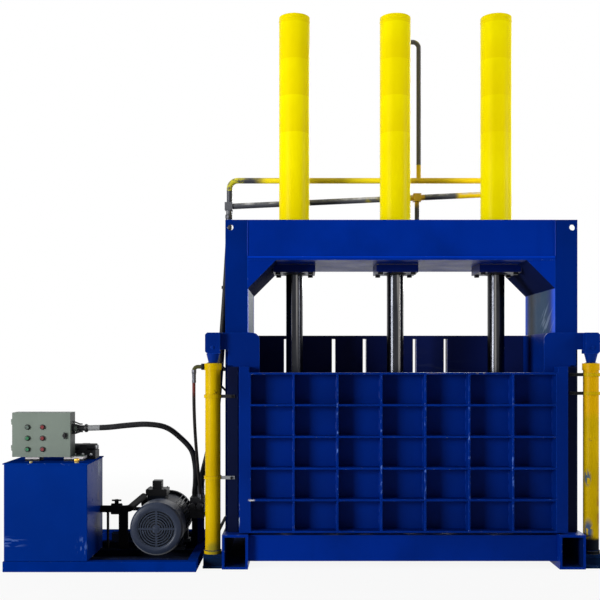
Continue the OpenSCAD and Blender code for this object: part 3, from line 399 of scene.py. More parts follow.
@dataclass(frozen=True)
class ScuffAndGlint:
    """A rubbed, stained or scratched place, or a painted reflection: broken marks inside an oval."""

    at: Point
    reach: Point
    colour: Colour
    strength: float = 0.8
    grain: float = 60.0
    lines: Point = EVEN
    tilt: float = 0.0
    cover: float = 0.5
    matt: bool = False

    def mask(self, graph: Graph) -> NodeSocket:
        """Where the marks lie.

        Args:
            graph: The material's node tree.

        Returns:
            Strength of the marks at each place.
        """
        offset = graph.vector("SUBTRACT", graph.place, self.at).outputs["Vector"]
        ratio = graph.vector("DIVIDE", offset, self.reach).outputs["Vector"]
        fade = graph.step(graph.vector("LENGTH", ratio).outputs["Value"], 1.0, 0.3)
        edge = 0.68 - 0.36 * self.cover
        marks = graph.step(graph.noise(self.grain, 4.0, self.lines, self.tilt), edge, edge + 0.06)
        return graph.times(fade, marks, self.strength)


@dataclass(frozen=True)
class Enamel:
    """Sprayed gloss paint: uneven coats, orange peel, lighter edges that are partly rubbed paint and partly a
    painted highlight, chips, dust on upward faces that on the pipes is a painted highlight, and painted shade
    on downward slopes.
    """

    name: str
    colour: Colour
    shade: Colour
    roughness: float = 0.34
    matt_roughness: float = 0.95
    specular: float = 0.03
    tint: Colour = (1.0, 1.0, 1.0, 1.0)
    peel: float = 0.00025
    sag: float = 0.0012
    edge: float = 0.005
    # Edge colour: partly rubbed paint, partly a painted highlight where the edges catch the light.
    rub_and_highlight: float = 0.3
    rub_and_highlight_colour: Colour = tone(20, 74, 190)
    chip_colour: Colour = tone(150, 168, 196)
    chips: float = 0.5
    # Colour on upward faces: settled dust, which on the pipes is a painted highlight on their upper halves.
    dust_and_sheen: float = 0.12
    dust_and_sheen_colour: Colour = tone(88, 106, 150)
    dust_and_sheen_from: tuple[float, float] = (0.6, 0.95)
    marks: tuple[Zone | ScuffAndGlint, ...] = ()
    bands: tuple[float, float, float] | None = None
    # Painted shade on faces that slant downward.
    slope_shade: Colour | None = None

    def banded(self, graph: Graph, colour: NodeSocket) -> NodeSocket:
        """Spray passes that each darken toward their lower end.

        Args:
            graph: The material's node tree.
            colour: Colour under the passes.

        Returns:
            The banded colour.
        """
        top, pitch, low = self.bands
        height = graph.along(Axis.Z)
        passes = graph.calc("DIVIDE", graph.calc("SUBTRACT", height, top - 10 * pitch), pitch)
        fade = graph.step(graph.calc("FRACT", passes), 0.95, 0.0)
        amount = graph.times(fade, graph.step(height, low - 0.002, low + 0.002), 0.7)
        return graph.mix(amount, colour, self.shade)

    def material(self) -> Material:
        """Makes the nodes of this paint.

        Returns:
            The material.
        """
        graph = Graph(self.name)
        coats = graph.step(graph.noise(1.7, 4.0), 0.38, 0.7)
        colour = graph.mix(graph.times(coats, 0.75), self.colour, self.shade)
        streaks = graph.step(graph.noise(9.0, 3.0, (1.0, 1.0, 0.08)), 0.52, 0.72)
        colour = graph.mix(graph.times(streaks, 0.22), colour, self.shade)
        if self.bands:
            colour = self.banded(graph, colour)
        blur = graph.slope(graph.noise(5.0), 0.22, self.roughness - 0.11)
        # Painted shade: faces that slant downward are darkened and dulled.
        if self.slope_shade:
            down = graph.times(graph.facing(Axis.Z), -1.0)
            slant = graph.times(graph.step(down, 0.45, 0.6), graph.step(down, 0.93, 0.85))
            colour = graph.mix(graph.times(slant, 0.9), colour, self.slope_shade)
            blur = graph.calc("MAXIMUM", blur, graph.times(slant, self.matt_roughness))
        for mark in self.marks:
            mask = mark.mask(graph)
            colour = graph.mix(mask, colour, mark.colour)
            if mark.matt:
                blur = graph.calc("MAXIMUM", blur, graph.times(mask, self.matt_roughness))
        # Edges are lightened: partly rubbed paint, partly a painted highlight.
        edge_band = graph.step(graph.edges(self.edge), 0.02, 0.2)
        colour = graph.mix(graph.times(edge_band, self.rub_and_highlight), colour, self.rub_and_highlight_colour)
        spots = graph.step(graph.noise(38.0, 4.0), 0.62, 0.66)
        colour = graph.mix(graph.times(spots, edge_band, self.chips), colour, self.chip_colour)
        # Upward faces take dust; where it is strong, as on the pipes, it is a painted highlight.
        if self.dust_and_sheen:
            upward = graph.step(graph.facing(Axis.Z), *self.dust_and_sheen_from)
            dust_and_sheen_mask = graph.times(graph.step(graph.noise(14.0, 5.0), 0.35, 0.75), upward, self.dust_and_sheen)
            colour = graph.mix(dust_and_sheen_mask, colour, self.dust_and_sheen_colour)
            blur = graph.slope(dust_and_sheen_mask, 0.5, blur)
        graph.relief(graph.noise(420.0, 1.0), self.peel)
        graph.relief(graph.noise(3.2, 2.0), self.sag)
        return graph.surface(
            Base_Color=colour, Roughness=blur, Specular_IOR_Level=self.specular, Specular_Tint=self.tint,
        )


@dataclass(frozen=True)
class Metal:
    """Bare or plated metal with drawn streaks, painted reflection stripes, mottling and smears."""

    name: str
    colour: Colour
    smear: Colour
    roughness: float = 0.3
    mottle: float = 0.3
    streak: Point = (1.0, 1.0, 0.02)
    grain_depth: float = 0.00005
    # Colour of painted reflection stripes along the rod.
    reflection_stripe_colour: Colour | None = None
    painted_above: float | None = None
    paint: Colour = BLUE

    def material(self) -> Material:
        """Makes the nodes of this metal.

        Returns:
            The material.
        """
        graph = Graph(self.name)
        smears = graph.times(graph.step(graph.noise(7.0, 4.0), 0.42, 0.72), self.mottle)
        lines = graph.noise(160.0, 2.0, self.streak)
        colour = graph.mix(smears, self.colour, self.smear)
        colour = graph.mix(graph.times(graph.step(lines, 0.45, 0.7), 0.25), colour, self.smear)
        # Painted reflection: thin bright stripes along the rod.
        if self.reflection_stripe_colour:
            reflection_stripes = graph.step(graph.noise(44.0, 1.0, (1.0, 1.0, 0.004)), 0.58, 0.63)
            colour = graph.mix(graph.times(reflection_stripes, 0.85), colour, self.reflection_stripe_colour)
        blur = graph.slope(smears, 0.2, graph.slope(lines, 0.16, self.roughness - 0.08))
        if self.painted_above is None:
            graph.surface(Metallic=1.0)
        else:
            edge = self.painted_above
            painted = graph.step(graph.along(Axis.Z), edge - 0.001, edge + 0.001)
            colour = graph.mix(painted, colour, self.paint)
            blur = graph.slope(painted, 0.25, blur)
            graph.surface(Metallic=graph.calc("SUBTRACT", 1.0, painted), Specular_IOR_Level=0.05)
        graph.relief(lines, self.grain_depth)
        return graph.surface(Base_Color=colour, Roughness=blur)


@dataclass(frozen=True)
class Moulded:
    """Moulded plastic, rubber or casting: one colour with grain and handled patches."""

    name: str
    colour: Colour
    wear: Colour
    roughness: float = 0.45
    specular: float = 0.3
    grain: float = 600.0
    grain_depth: float = 0.0001
    mottle: float = 0.35
    edge: float = 0.004

    def material(self) -> Material:
        """Makes the nodes of this moulding.

        Returns:
            The material.
        """
        graph = Graph(self.name)
        handled = graph.times(graph.step(graph.noise(22.0, 4.0), 0.4, 0.75), self.mottle)
        edge_band = graph.times(graph.step(graph.edges(self.edge), 0.02, 0.2), 0.35)
        colour = graph.mix(edge_band, graph.mix(handled, self.colour, self.wear), self.wear)
        blur = graph.slope(handled, 0.3, self.roughness)
        graph.relief(graph.noise(self.grain, 2.0), self.grain_depth)
        return graph.surface(Base_Color=colour, Roughness=blur, Specular_IOR_Level=self.specular)


@dataclass(frozen=True)
class Wrapped:
    """Hose rubber with the wrap pattern of its cure, laid on the cord's own UV map."""

    name: str
    colour: Colour
    scuff: Colour
    turns: float = 60.0
    depth: float = 0.0006
    roughness: float = 0.5
    specular: float = 0.15
    marks: tuple[Zone | ScuffAndGlint, ...] = ()

    def material(self) -> Material:
        """Makes the nodes of this hose.

        Returns:
            The material.
        """
        graph = Graph(self.name)
        uv = graph.add("ShaderNodeTexCoord").outputs["UV"]
        lay = graph.slope(graph.part(uv, Axis.X), self.turns, graph.part(uv, Axis.Y))
        scuffs = graph.step(graph.noise(18.0, 4.0), 0.5, 0.75)
        colour = graph.mix(graph.times(scuffs, 0.5), self.colour, self.scuff)
        for mark in self.marks:
            colour = graph.mix(mark.mask(graph), colour, mark.colour)
        blur = graph.slope(scuffs, 0.2, self.roughness)
        graph.relief(graph.step(graph.calc("PINGPONG", lay, 0.5), 0.05, 0.2), self.depth)
        return graph.surface(Base_Color=colour, Roughness=blur, Specular_IOR_Level=self.specular)


Finish = Enamel | Metal | Moulded | Wrapped


class PaintShop:
    """Makes each finish's material once and lays it on pieces."""

    def __init__(self) -> None:
        """Starts with no material made."""
        self.made: dict[str, Material] = {}

    def coat(self, piece: Object, finish: Finish) -> None:
        """Gives a piece one finish all over.

        Args:
            piece: The object to dress.
            finish: Its finish.
        """
        if finish.name not in self.made:
            self.made[finish.name] = finish.material()
        material = self.made[finish.name]
        if piece.type == "MESH" and piece.material_slots:
            for slot in piece.material_slots:
                slot.material = material
        else:
            piece.data.materials.append(material)


SHOP = PaintShop()

GLOSS_TINT = (0.7, 0.86, 1.0, 1.0)
COLUMN_FACE = (Axis.X, 1.02, 1.0308)
FOOT_HOLLOW = (Axis.Z, 0.0152, 0.2098)

FRAME_ENAMEL = Enamel(
    "frame_enamel", tone(0, 38, 132), tone(0, 30, 108), tint=GLOSS_TINT,
    # Painted shade: the inside of the feet's hollow ends is darkened.
    marks=(Zone(Axis.X, 1.0352, 1.1748, tone(0, 20, 72), 0.0004, mirrored=True, across=FOOT_HOLLOW,
                matt=True),),
)
BEAM_ENAMEL = Enamel(
    # The slope colour is painted shade on the beam's downward slants.
    "beam_enamel", BLUE, DEEP_BLUE, specular=0.022, tint=GLOSS_TINT, slope_shade=tone(14, 19, 44),
    # Painted highlight: a bright blue line along the lower flange's edge.
    marks=(Zone(Axis.Y, -0.41, -0.4012, tone(0, 52, 178), 0.0006, across=(Axis.Z, 2.056, 2.07)),),
)
COLUMN_ENAMEL = Enamel(
    "column_enamel", tone(0, 33, 114), tone(0, 28, 98), specular=0.02, tint=GLOSS_TINT,
    marks=(
        # Painted reflection on the columns' inner faces, with painted highlights near their front and back
        # edges.
        Zone(Axis.Y, -0.25, 0.3, tone(0, 54, 88), 0.09, mirrored=True, across=COLUMN_FACE),
        Zone(Axis.Y, -0.45, -0.32, tone(0, 78, 220), 0.06, mirrored=True, across=COLUMN_FACE),
        Zone(Axis.Y, 0.34, 0.45, tone(0, 72, 196), 0.05, mirrored=True, across=COLUMN_FACE),
        ScuffAndGlint((1.03, -0.2, 1.64), (0.02, 0.24, 0.16), tone(134, 152, 180), 0.4, 34.0, (1.0, 0.1, 1.0), 32.0,
              0.42),
        ScuffAndGlint((1.03, 0.1, 1.9), (0.02, 0.3, 0.2), tone(30, 44, 70), 0.6, 6.0, cover=0.6),
    ),
)
WELD_ENAMEL = Enamel("weld_enamel", BLUE, DEEP_BLUE, rub_and_highlight=0.12, chips=0.0, dust_and_sheen=0.0)
GATE_ENAMEL = Enamel(
    # The strong edge colour here is mostly a painted highlight on the rib and ear edges.
    "gate_enamel", GATE_BLUE, GATE_SHADE, rub_and_highlight=0.6, chips=0.6, dust_and_sheen=0.0,
    marks=(
        *(ScuffAndGlint((-1.011 + 0.2883 * rib, -0.524, 0.76), (0.012, 0.02, 0.52), tone(92, 128, 204), 0.7, 60.0,
                (1.0, 1.0, 0.5), cover=0.27) for rib in (2, 3, 4, 5, 6)),
        ScuffAndGlint((0.21, -0.515, 1.287), (0.07, 0.03, 0.014), tone(122, 112, 92), 0.9, 40.0, cover=0.6),
        ScuffAndGlint((0.507, -0.515, 1.287), (0.09, 0.03, 0.014), tone(116, 108, 96), 0.8, 40.0, cover=0.5),
        ScuffAndGlint((-0.997, -0.52, 0.45), (0.03, 0.02, 0.012), tone(205, 204, 198), 0.95, 30.0, cover=0.9),
        ScuffAndGlint((-1.078, -0.526, 0.35), (0.006, 0.01, 0.09), tone(170, 188, 214), 0.8, 50.0, (1.0, 1.0, 0.2),
              cover=0.7),
    ),
)
GATE_WELD_ENAMEL = Enamel("gate_weld_enamel", GATE_BLUE, GATE_SHADE, rub_and_highlight=0.15, chips=0.25, dust_and_sheen=0.0)
CHAMBER_ENAMEL = Enamel(
    "chamber_enamel", BLUE, DEEP_BLUE,
    marks=(
        # Painted shade: the back wall's inner face darkened to near black.
        Zone(Axis.Y, 0.385, 0.4008, tone(19, 21, 40)),
        ScuffAndGlint((0.3, 0.394, 1.0), (0.7, 0.012, 0.6), tone(74, 82, 104), 0.3, 20.0, (0.15, 1.0, 1.0),
              cover=0.4),
    ),
)
SIDE_ENAMEL = Enamel(
    "side_wall_enamel", tone(0, 38, 126), tone(0, 26, 92),
    marks=(ScuffAndGlint((1.0, 0.0, 0.8), (0.1, 0.5, 0.6), tone(82, 86, 100), 0.35, 20.0, (1.0, 1.0, 0.15),
                 cover=0.4),),
)
# Painted shade: the guides' near-black blue stands in for the shade in their recess.
GUIDE_ENAMEL = Enamel("guide_enamel", tone(10, 18, 48), tone(9, 13, 38), rub_and_highlight=0.2,
                      rub_and_highlight_colour=tone(20, 36, 90))
BARREL_ENAMEL = Enamel(
    "barrel_enamel", YELLOW, OCHRE, roughness=0.3, rub_and_highlight=0.1, rub_and_highlight_colour=OCHRE, chips=0.1, dust_and_sheen=0.05,
    bands=(3.498, 0.26, 2.978),
    marks=(Zone(Axis.Z, 1.9, 2.0404, tone(4, 20, 78)),),
)
LEFT_LIFT_ENAMEL = Enamel(
    "left_lift_enamel", tone(196, 164, 0), tone(174, 140, 0), specular=0.04, rub_and_highlight=0.15, rub_and_highlight_colour=OCHRE,
    chips=0.3,
    marks=(
        Zone(Axis.X, -1.4, -1.319, tone(70, 70, 42)),
        ScuffAndGlint((-1.24, -0.476, 1.15), (0.03, 0.03, 0.03), tone(40, 34, 20), 0.7, 60.0, cover=0.5),
        ScuffAndGlint((-1.25, -0.48, 0.12), (0.07, 0.05, 0.06), tone(92, 104, 40), 0.6, 12.0, cover=0.8),
    ),
)
RIGHT_LIFT_ENAMEL = Enamel(
    "right_lift_enamel", tone(196, 162, 2), tone(150, 128, 2), specular=0.04, rub_and_highlight=0.15, rub_and_highlight_colour=OCHRE,
    chips=0.4,
    marks=(
        Zone(Axis.Z, 1.0, 1.4, tone(206, 160, 4), 0.04, 0.04, 8.0),
        ScuffAndGlint((1.222, -0.47, 0.59), (0.032, 0.04, 0.07), tone(14, 74, 108), 0.9, 34.0, (1.0, 1.0, 0.5),
              cover=0.7),
        ScuffAndGlint((1.228, -0.47, 0.24), (0.042, 0.04, 0.1), tone(8, 66, 112), 0.9, 30.0, (1.0, 1.0, 0.6),
              cover=0.75),
        ScuffAndGlint((1.3, -0.45, 0.4), (0.03, 0.05, 0.3), tone(140, 92, 30), 0.7, 12.0, cover=0.7),
        ScuffAndGlint((1.25, -0.48, 0.85), (0.03, 0.03, 0.03), tone(120, 88, 40), 0.6, 40.0, cover=0.5),
        Zone(Axis.Z, 0.05, 0.19, tone(18, 22, 28), 0.012, 0.02, 12.0, matt=True),
    ),
)
STRAP_ENAMEL = Enamel(
    "strap_enamel", tone(44, 44, 46), tone(30, 30, 32), rub_and_highlight=0.3, rub_and_highlight_colour=tone(90, 90, 92), chips=0.3,
    marks=(
        Zone(Axis.Z, 0.5, 0.65, tone(132, 134, 136), 0.004),
        Zone(Axis.X, 1.204, 1.4, tone(190, 158, 2), 0.003, mirrored=True),
    ),
)
# The pale yellow on the pipe's upper half is a painted highlight.
PRESSURE_PIPE_ENAMEL = Enamel(
    "pressure_pipe_enamel", PIPE_DARK, BLACK, specular=0.3, rub_and_highlight=0.05, chips=0.1, dust_and_sheen=0.6,
    dust_and_sheen_colour=tone(240, 224, 90), dust_and_sheen_from=(0.0, 0.6),
    marks=(
        Zone(Axis.X, -1.25, -1.1, tone(196, 190, 40), 0.02, 0.02, 10.0, 0.3, across=(Axis.Z, 2.63, 2.8)),
        Zone(Axis.X, -0.97, 0.06, tone(250, 226, 20), 0.06, 0.06, 5.0),
        Zone(Axis.X, 0.03, 0.9, tone(255, 218, 14), 0.03, 0.03, 5.0),
        Zone(Axis.Z, 2.815, 3.9, tone(92, 92, 95), 0.006, 0.01, 20.0),
    ),
)
# The pale grey on the pipe's upper half is a painted highlight.
RETURN_PIPE_ENAMEL = Enamel(
    "return_pipe_enamel", tone(84, 86, 92), PIPE_DARK, specular=0.4, rub_and_highlight=0.05, chips=0.1, dust_and_sheen=1.0,
    dust_and_sheen_colour=tone(206, 206, 210), dust_and_sheen_from=(-0.1, 0.5),
    marks=(
        Zone(Axis.X, -0.2, -0.1, tone(150, 140, 40), 0.03, 0.05, 8.0, 0.4),
        Zone(Axis.X, 0.12, 0.235, tone(250, 206, 18), 0.01, 0.03, 8.0),
        Zone(Axis.X, 0.47, 0.9, tone(252, 214, 14), 0.02, 0.03, 8.0),
        Zone(Axis.Z, 2.2, 2.5, PIPE_DARK, 0.03, 0.04, 8.0),
    ),
)
BLACK_ENAMEL = Enamel(
    "black_enamel", BLACK, SOOT, rub_and_highlight=0.3, rub_and_highlight_colour=tone(52, 52, 55), specular=0.1,
    chip_colour=tone(110, 110, 112), roughness=0.42, chips=0.3, dust_and_sheen=0.03,
)
LINE_ENAMEL = Enamel(
    "line_enamel", BLACK, SOOT, rub_and_highlight=0.2, rub_and_highlight_colour=tone(46, 46, 49), specular=0.01,
    chip_colour=tone(90, 90, 92), roughness=0.6, chips=0.2, dust_and_sheen=0.0,
)
TANK_ENAMEL = Enamel(
    "tank_enamel", tone(0, 37, 116), tone(0, 32, 104), roughness=0.3, specular=0.02, dust_and_sheen=0.0,
    tint=GLOSS_TINT,
    marks=(
        # Painted reflections: pale streaks in the lower corners of the front.
        ScuffAndGlint((-2.56, -0.614, 0.19), (0.14, 0.05, 0.05), tone(92, 122, 184), 0.35, 60.0, (0.15, 1.0, 1.0),
              cover=0.45),
        ScuffAndGlint((-2.08, -0.614, 0.17), (0.06, 0.05, 0.09), tone(88, 118, 180), 0.35, 70.0, (1.0, 1.0, 0.3),
              cover=0.4),
        # Painted reflections: a pale patch and a brownish band on the right side.
        ScuffAndGlint((-2.054, -0.3, 0.64), (0.03, 0.16, 0.08), tone(140, 154, 180), 0.6, 9.0, (1.0, 1.0, 0.4),
              cover=0.7),
        ScuffAndGlint((-2.054, -0.26, 0.44), (0.03, 0.14, 0.06), tone(104, 92, 74), 0.5, 9.0, (1.0, 1.0, 0.4),
              cover=0.6),
    ),
)
LID_ENAMEL = Enamel(
    "lid_enamel", tone(0, 37, 116), tone(0, 30, 98), specular=0.0, dust_and_sheen=0.0,
    marks=(Zone(Axis.Z, 0.7025, 0.75, tone(170, 156, 104), 0.0003),),
)
SKID_ENAMEL = Enamel(
    "skid_enamel", tone(0, 38, 122), tone(0, 28, 96), specular=0.0, dust_and_sheen=0.04,
    # Painted shade: the skid under the motor and pump is near-black and matt.
    marks=(Zone(Axis.Y, -0.553, 0.41, tone(16, 19, 30), 0.01, 0.006, 8.0, across=(Axis.X, -2.1, -1.41),
                matt=True),),
)
BRACKET_ENAMEL = Enamel("bracket_enamel", tone(12, 34, 66), tone(14, 22, 40), specular=0.0, dust_and_sheen=0.1)
BOX_ENAMEL = Enamel(
    "control_box_enamel", tone(108, 118, 110), tone(96, 106, 97), roughness=0.46, specular=0.08,
    peel=0.0005, rub_and_highlight=0.25, rub_and_highlight_colour=tone(150, 156, 148), chip_colour=tone(70, 72, 70), chips=0.4,
    marks=(
        # Painted shadow: the lower half of the feet under the box is dark and matt.
        Zone(Axis.Z, 0.69, 0.7155, tone(26, 28, 36), 0.0006, matt=True),
        Zone(Axis.Z, 0.7155, 0.7303, tone(186, 182, 182), 0.0006, matt=True),
        Zone(Axis.X, -2.1935, -2.19, tone(66, 71, 68), 0.0006),
    ),
)
MOTOR_ENAMEL = Enamel(
    "motor_enamel", tone(37, 44, 60), tone(29, 35, 48), roughness=0.36, specular=0.15, rub_and_highlight=0.35,
    rub_and_highlight_colour=tone(96, 108, 124), chips=0.3, peel=0.0004,
)
# The near-black tone is painted shade: the frame sits in shadow behind the cowl.
MOTOR_FRAME_ENAMEL = Enamel(
    "motor_frame_enamel", tone(26, 31, 42), tone(18, 22, 30), roughness=0.45, specular=0.06, rub_and_highlight=0.3,
    rub_and_highlight_colour=tone(62, 70, 82), chips=0.3, peel=0.0004,
)
# Painted reflection: the dark base tone and the bright stripes stand in for the surroundings mirrored in the
# chrome.
CHROME = Metal(
    "chrome_rod", tone(50, 51, 55), tone(30, 32, 38), 0.2, 0.4, reflection_stripe_colour=tone(132, 130, 128),
)
LIFT_ROD = Metal(
    "gate_rod_chrome", tone(120, 121, 126), tone(70, 72, 80), 0.16, 0.3, painted_above=1.3535,
    paint=tone(0, 36, 116),
)
ZINC = Metal("zinc_plate", tone(150, 152, 154), tone(104, 106, 110), 0.36, 0.5, EVEN)
DARK_STEEL = Metal("dark_steel", tone(74, 75, 80), tone(44, 44, 48), 0.4, 0.5, EVEN)
WEAR_STEEL = Metal("worn_plate", tone(120, 120, 122), tone(80, 72, 66), 0.42, 0.6, (0.1, 1.0, 1.0), 0.0002)
BRASS = Metal("filler_brass", tone(214, 170, 72), tone(150, 112, 44), 0.28, 0.35, EVEN)
CAST_IRON = Moulded("cast_iron", tone(26, 27, 31), tone(46, 46, 50), 0.5, 0.15, 240.0, 0.0006)
BLACK_PLASTIC = Moulded("black_plastic", tone(20, 20, 22), tone(48, 48, 50), 0.42, 0.2)
GREEN_CAP = Moulded("green_cap", tone(20, 92, 56), tone(46, 118, 80), 0.3, 0.4, 900.0, 0.00003)
DARK_GREEN_CAP = Moulded("dark_green_cap", tone(60, 76, 68), tone(84, 100, 90), 0.34, 0.4, 900.0, 0.00003)
RED_CAP = Moulded("red_cap", tone(104, 24, 30), tone(126, 52, 56), 0.3, 0.4, 900.0, 0.00003)
HOSE_RUBBER = Wrapped("hose_rubber", tone(20, 20, 22), tone(50, 50, 52), 70.0)
LIFT_RUBBER = Wrapped(
    "lift_hose_rubber", tone(24, 22, 22), tone(60, 52, 48), 60.0, 0.0004,
    marks=(Zone(Axis.Z, 1.14, 1.24, tone(92, 40, 36), 0.03),),
)
CABLE_SKIN = Wrapped(
    "cable_conduit", tone(22, 22, 25), tone(50, 50, 54), 140.0, 0.0012,
    marks=(Zone(Axis.X, -2.106, -2.013, tone(128, 130, 132), 0.001),),
)
WIPER_RUBBER = Moulded("wiper_rubber", tone(20, 20, 22), tone(40, 40, 42), 0.55, 0.3)


def collar(bore: float, section: Outline) -> Outline:
    """Half section of a ring, from points given by their stand-off from the bore and their height."""
    return [(bore + proud, height) for proud, height in section]


def torus(radius: float, thick: float) -> Outline:
    """Half section of a ring with a round wall of the given radius and thickness."""
    turns = [math.radians(45 * k) for k in range(8)]
    return [(radius + thick * math.cos(turn), thick * math.sin(turn)) for turn in turns]


class Blank:
    """A mesh under construction, with the operators that the fittings need."""

    sharp = math.radians(35)
    bead_swell = 0.16
    bead_tip = 0.45
    rod_sides = 12
    bend = 2.5
    bend_steps = 6

    def __init__(self) -> None:
        """Starts an empty mesh."""
        self.bm = bmesh.new()

    @staticmethod
    def around(verts: list[BMVert]) -> list[BMEdge]:
        """Edges that meet at some vertices, each once and always in the same order."""
        return list(dict.fromkeys(e for v in verts for e in v.link_edges))

    @staticmethod
    def soften(mesh: BMesh, edges: list[BMEdge], width: float) -> None:
        """Rounds edges of a mesh.

        Args:
            mesh: The mesh.
            edges: The edges.
            width: Width of the rounding.
        """
        bmesh.ops.bevel(
            mesh, geom=edges, offset=width, offset_type="OFFSET", segments=2, profile=0.5, affect="EDGES",
            material=-1, clamp_overlap=True,
        )

    def box(self, low: Point, high: Point, edge: float) -> None:
        """Adds a block with rounded edges.

        Args:
            low: Lowest corner.
            high: Highest corner.
            edge: Width of the rounding.
        """
        span = Vector(high) - Vector(low)
        middle = (Vector(high) + Vector(low)) / 2
        place = Matrix.Translation(middle) @ Matrix.Diagonal((*span, 1.0))
        verts = bmesh.ops.create_cube(self.bm, size=1.0, matrix=place)["verts"]
        self.soften(self.bm, self.around(verts), edge)

    def lathe(self, outline: Outline, at: Point, axis: Axis, steps: int = 36) -> None:
        """Adds a turned piece.

        Args:
            outline: Radius and height of each point of the half section, in order.
            at: Place of height 0 on the axis.
            axis: Direction of the turning axis.
            steps: Facets round the piece.
        """
        part = bmesh.new()
        verts = [part.verts.new((radius, 0.0, height)) for radius, height in outline]
        closed = outline[0][0] > 0.0 and outline[-1][0] > 0.0
        pairs = list(zip(verts, verts[1:])) + ([(verts[-1], verts[0])] if closed else [])
        edges = [part.edges.new(pair) for pair in pairs]
        bmesh.ops.spin(
            part, geom=verts + edges, cent=(0, 0, 0), axis=(0, 0, 1), dvec=(0, 0, 0),
            angle=2 * math.pi, steps=steps, use_merge=True, use_duplicate=False,
        )
        bmesh.ops.remove_doubles(part, verts=part.verts[:], dist=1e-6)
        bmesh.ops.recalc_face_normals(part, faces=part.faces[:])
        self.take(part, Matrix.Translation(at) @ stand(Vector(axis.value)))

    def hexagon(self, at: Point, axis: Axis, across: float, height: float) -> None:
        """Adds a hexagon nut or bolt head with rounded edges.

        Args:
            at: Middle of the seat face.
            axis: Direction it stands along; a negative height points it the other way.
            across: Width over the corners.
            height: Height from the seat.
        """
        place = Matrix.Translation(at) @ stand(Vector(axis.value)) @ Matrix.Translation((0, 0, height / 2))
        verts = bmesh.ops.create_cone(
            self.bm, cap_ends=True, segments=6, radius1=across / 2, radius2=across / 2,
            depth=abs(height), matrix=place,
        )["verts"]
        self.soften(self.bm, self.around(verts), 0.06 * across)

    def bead(self, start: Point, end: Point, radius: float, pitch: float = 0.009) -> None:
        """Adds a weld bead with ripples.

        Args:
            start: One end of its middle line.
            end: Other end of its middle line.
            radius: Radius of the bead.
            pitch: Length of a ripple.
        """
        line = Vector(end) - Vector(start)
        part = bmesh.new()
        bmesh.ops.create_cone(
            part, cap_ends=True, segments=7, radius1=radius, radius2=radius, depth=line.length,
        )
        long_edges = [e for e in part.edges if abs(e.verts[0].co.z - e.verts[1].co.z) > 0.5 * line.length]
        cuts = max(2, 2 * round(line.length / pitch))
        bmesh.ops.subdivide_edges(part, edges=long_edges, cuts=cuts, use_grid_fill=True)
        for vert in part.verts:
            ripple = 1.0 + self.bead_swell * math.sin(2 * math.pi * vert.co.z / pitch)
            end_fade = min(1.0, self.bead_tip + (line.length / 2 - abs(vert.co.z)) / (2 * radius))
            vert.co.x *= ripple * end_fade
            vert.co.y *= ripple * end_fade
        self.take(part, Matrix.Translation((Vector(start) + Vector(end)) / 2) @ stand(line))

    def rod(self, start: Point, toward: Point, radius: float, legs: list[tuple[float, float, Point]]) -> None:
        """Adds a bent rod with round tips.

        Args:
            start: Middle of its first end.
            toward: Direction of its first leg.
            radius: Radius of the rod.
            legs: Length of each straight leg, the angle turned after it in degrees and the turning axis.
        """
        part = bmesh.new()
        heading = Vector(toward).normalized()
        here = Vector(start)
        place = Matrix.Translation(here) @ stand(heading)
        bmesh.ops.create_circle(part, cap_ends=True, segments=self.rod_sides, radius=radius, matrix=place)
        tip = part.faces[:]
        for length, angle, axis in legs:
            tip = self._extrude(part, tip, heading * length)
            here = here + heading * length
            if angle:
                centre = here + Vector(axis).cross(heading).normalized() * (self.bend * radius)
                turn = Matrix.Rotation(math.radians(angle) / self.bend_steps, 4, Vector(axis))
                for _ in range(self.bend_steps):
                    tip = self._extrude(part, tip, Vector((0, 0, 0)))
                    verts = list(dict.fromkeys(v for f in tip for v in f.verts))
                    bmesh.ops.rotate(part, verts=verts, cent=centre, matrix=turn)
                whole = Matrix.Rotation(math.radians(angle), 4, Vector(axis))
                here = centre + whole @ (here - centre)
                heading = (whole @ heading).normalized()
        bmesh.ops.recalc_face_normals(part, faces=part.faces[:])
        caps = [e for f in part.faces if len(f.verts) == self.rod_sides for e in f.edges]
        self.soften(part, caps, 0.6 * radius)
        self.take(part, Matrix.Identity(4))

    @staticmethod
    def _extrude(part: BMesh, faces: list[BMFace], move: Vector) -> list[BMFace]:
        """Extrudes faces and moves the new ones.

        Args:
            part: The mesh.
            faces: Faces to extrude.
            move: How far the new faces go.

        Returns:
            The new faces.
        """
        made = bmesh.ops.extrude_face_region(part, geom=faces)["geom"]
        bmesh.ops.delete(part, geom=faces, context="FACES_ONLY")
        bmesh.ops.translate(part, verts=[g for g in made if isinstance(g, BMVert)], vec=move)
        return [g for g in made if isinstance(g, BMFace)]

    def take(self, part: BMesh, place: Matrix) -> None:
        """Moves a part mesh into place and joins it to this one.

        Args:
            part: The mesh, which is used up.
            place: Where it goes.
        """
        bmesh.ops.transform(part, matrix=place, verts=part.verts[:])
        mesh = bpy.data.meshes.new("joined")
        part.to_mesh(mesh)
        part.free()
        self.bm.from_mesh(mesh)
        bpy.data.meshes.remove(mesh)

    def piece(self, name: str, finish: Finish, slot: Slot, body: str = Body.FRAME.value) -> Object:
        """Makes the object of this mesh, dresses it and lets it ride.

        Args:
            name: Name of the piece.
            finish: Its finish.
            slot: Material slot of the record; not used.
            body: Body that it rides on.

        Returns:
            The piece.
        """
        for face in self.bm.faces:
            face.smooth = True
        mesh = bpy.data.meshes.new(name)
        self.bm.to_mesh(mesh)
        self.bm.free()
        mesh.set_sharp_from_angle(angle=self.sharp)
        made = put(name, mesh)
        SHOP.coat(made, finish)
        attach(made, body)
        LOG.info("%s rides on %s, %d faces", name, body, len(mesh.polygons))
        return made


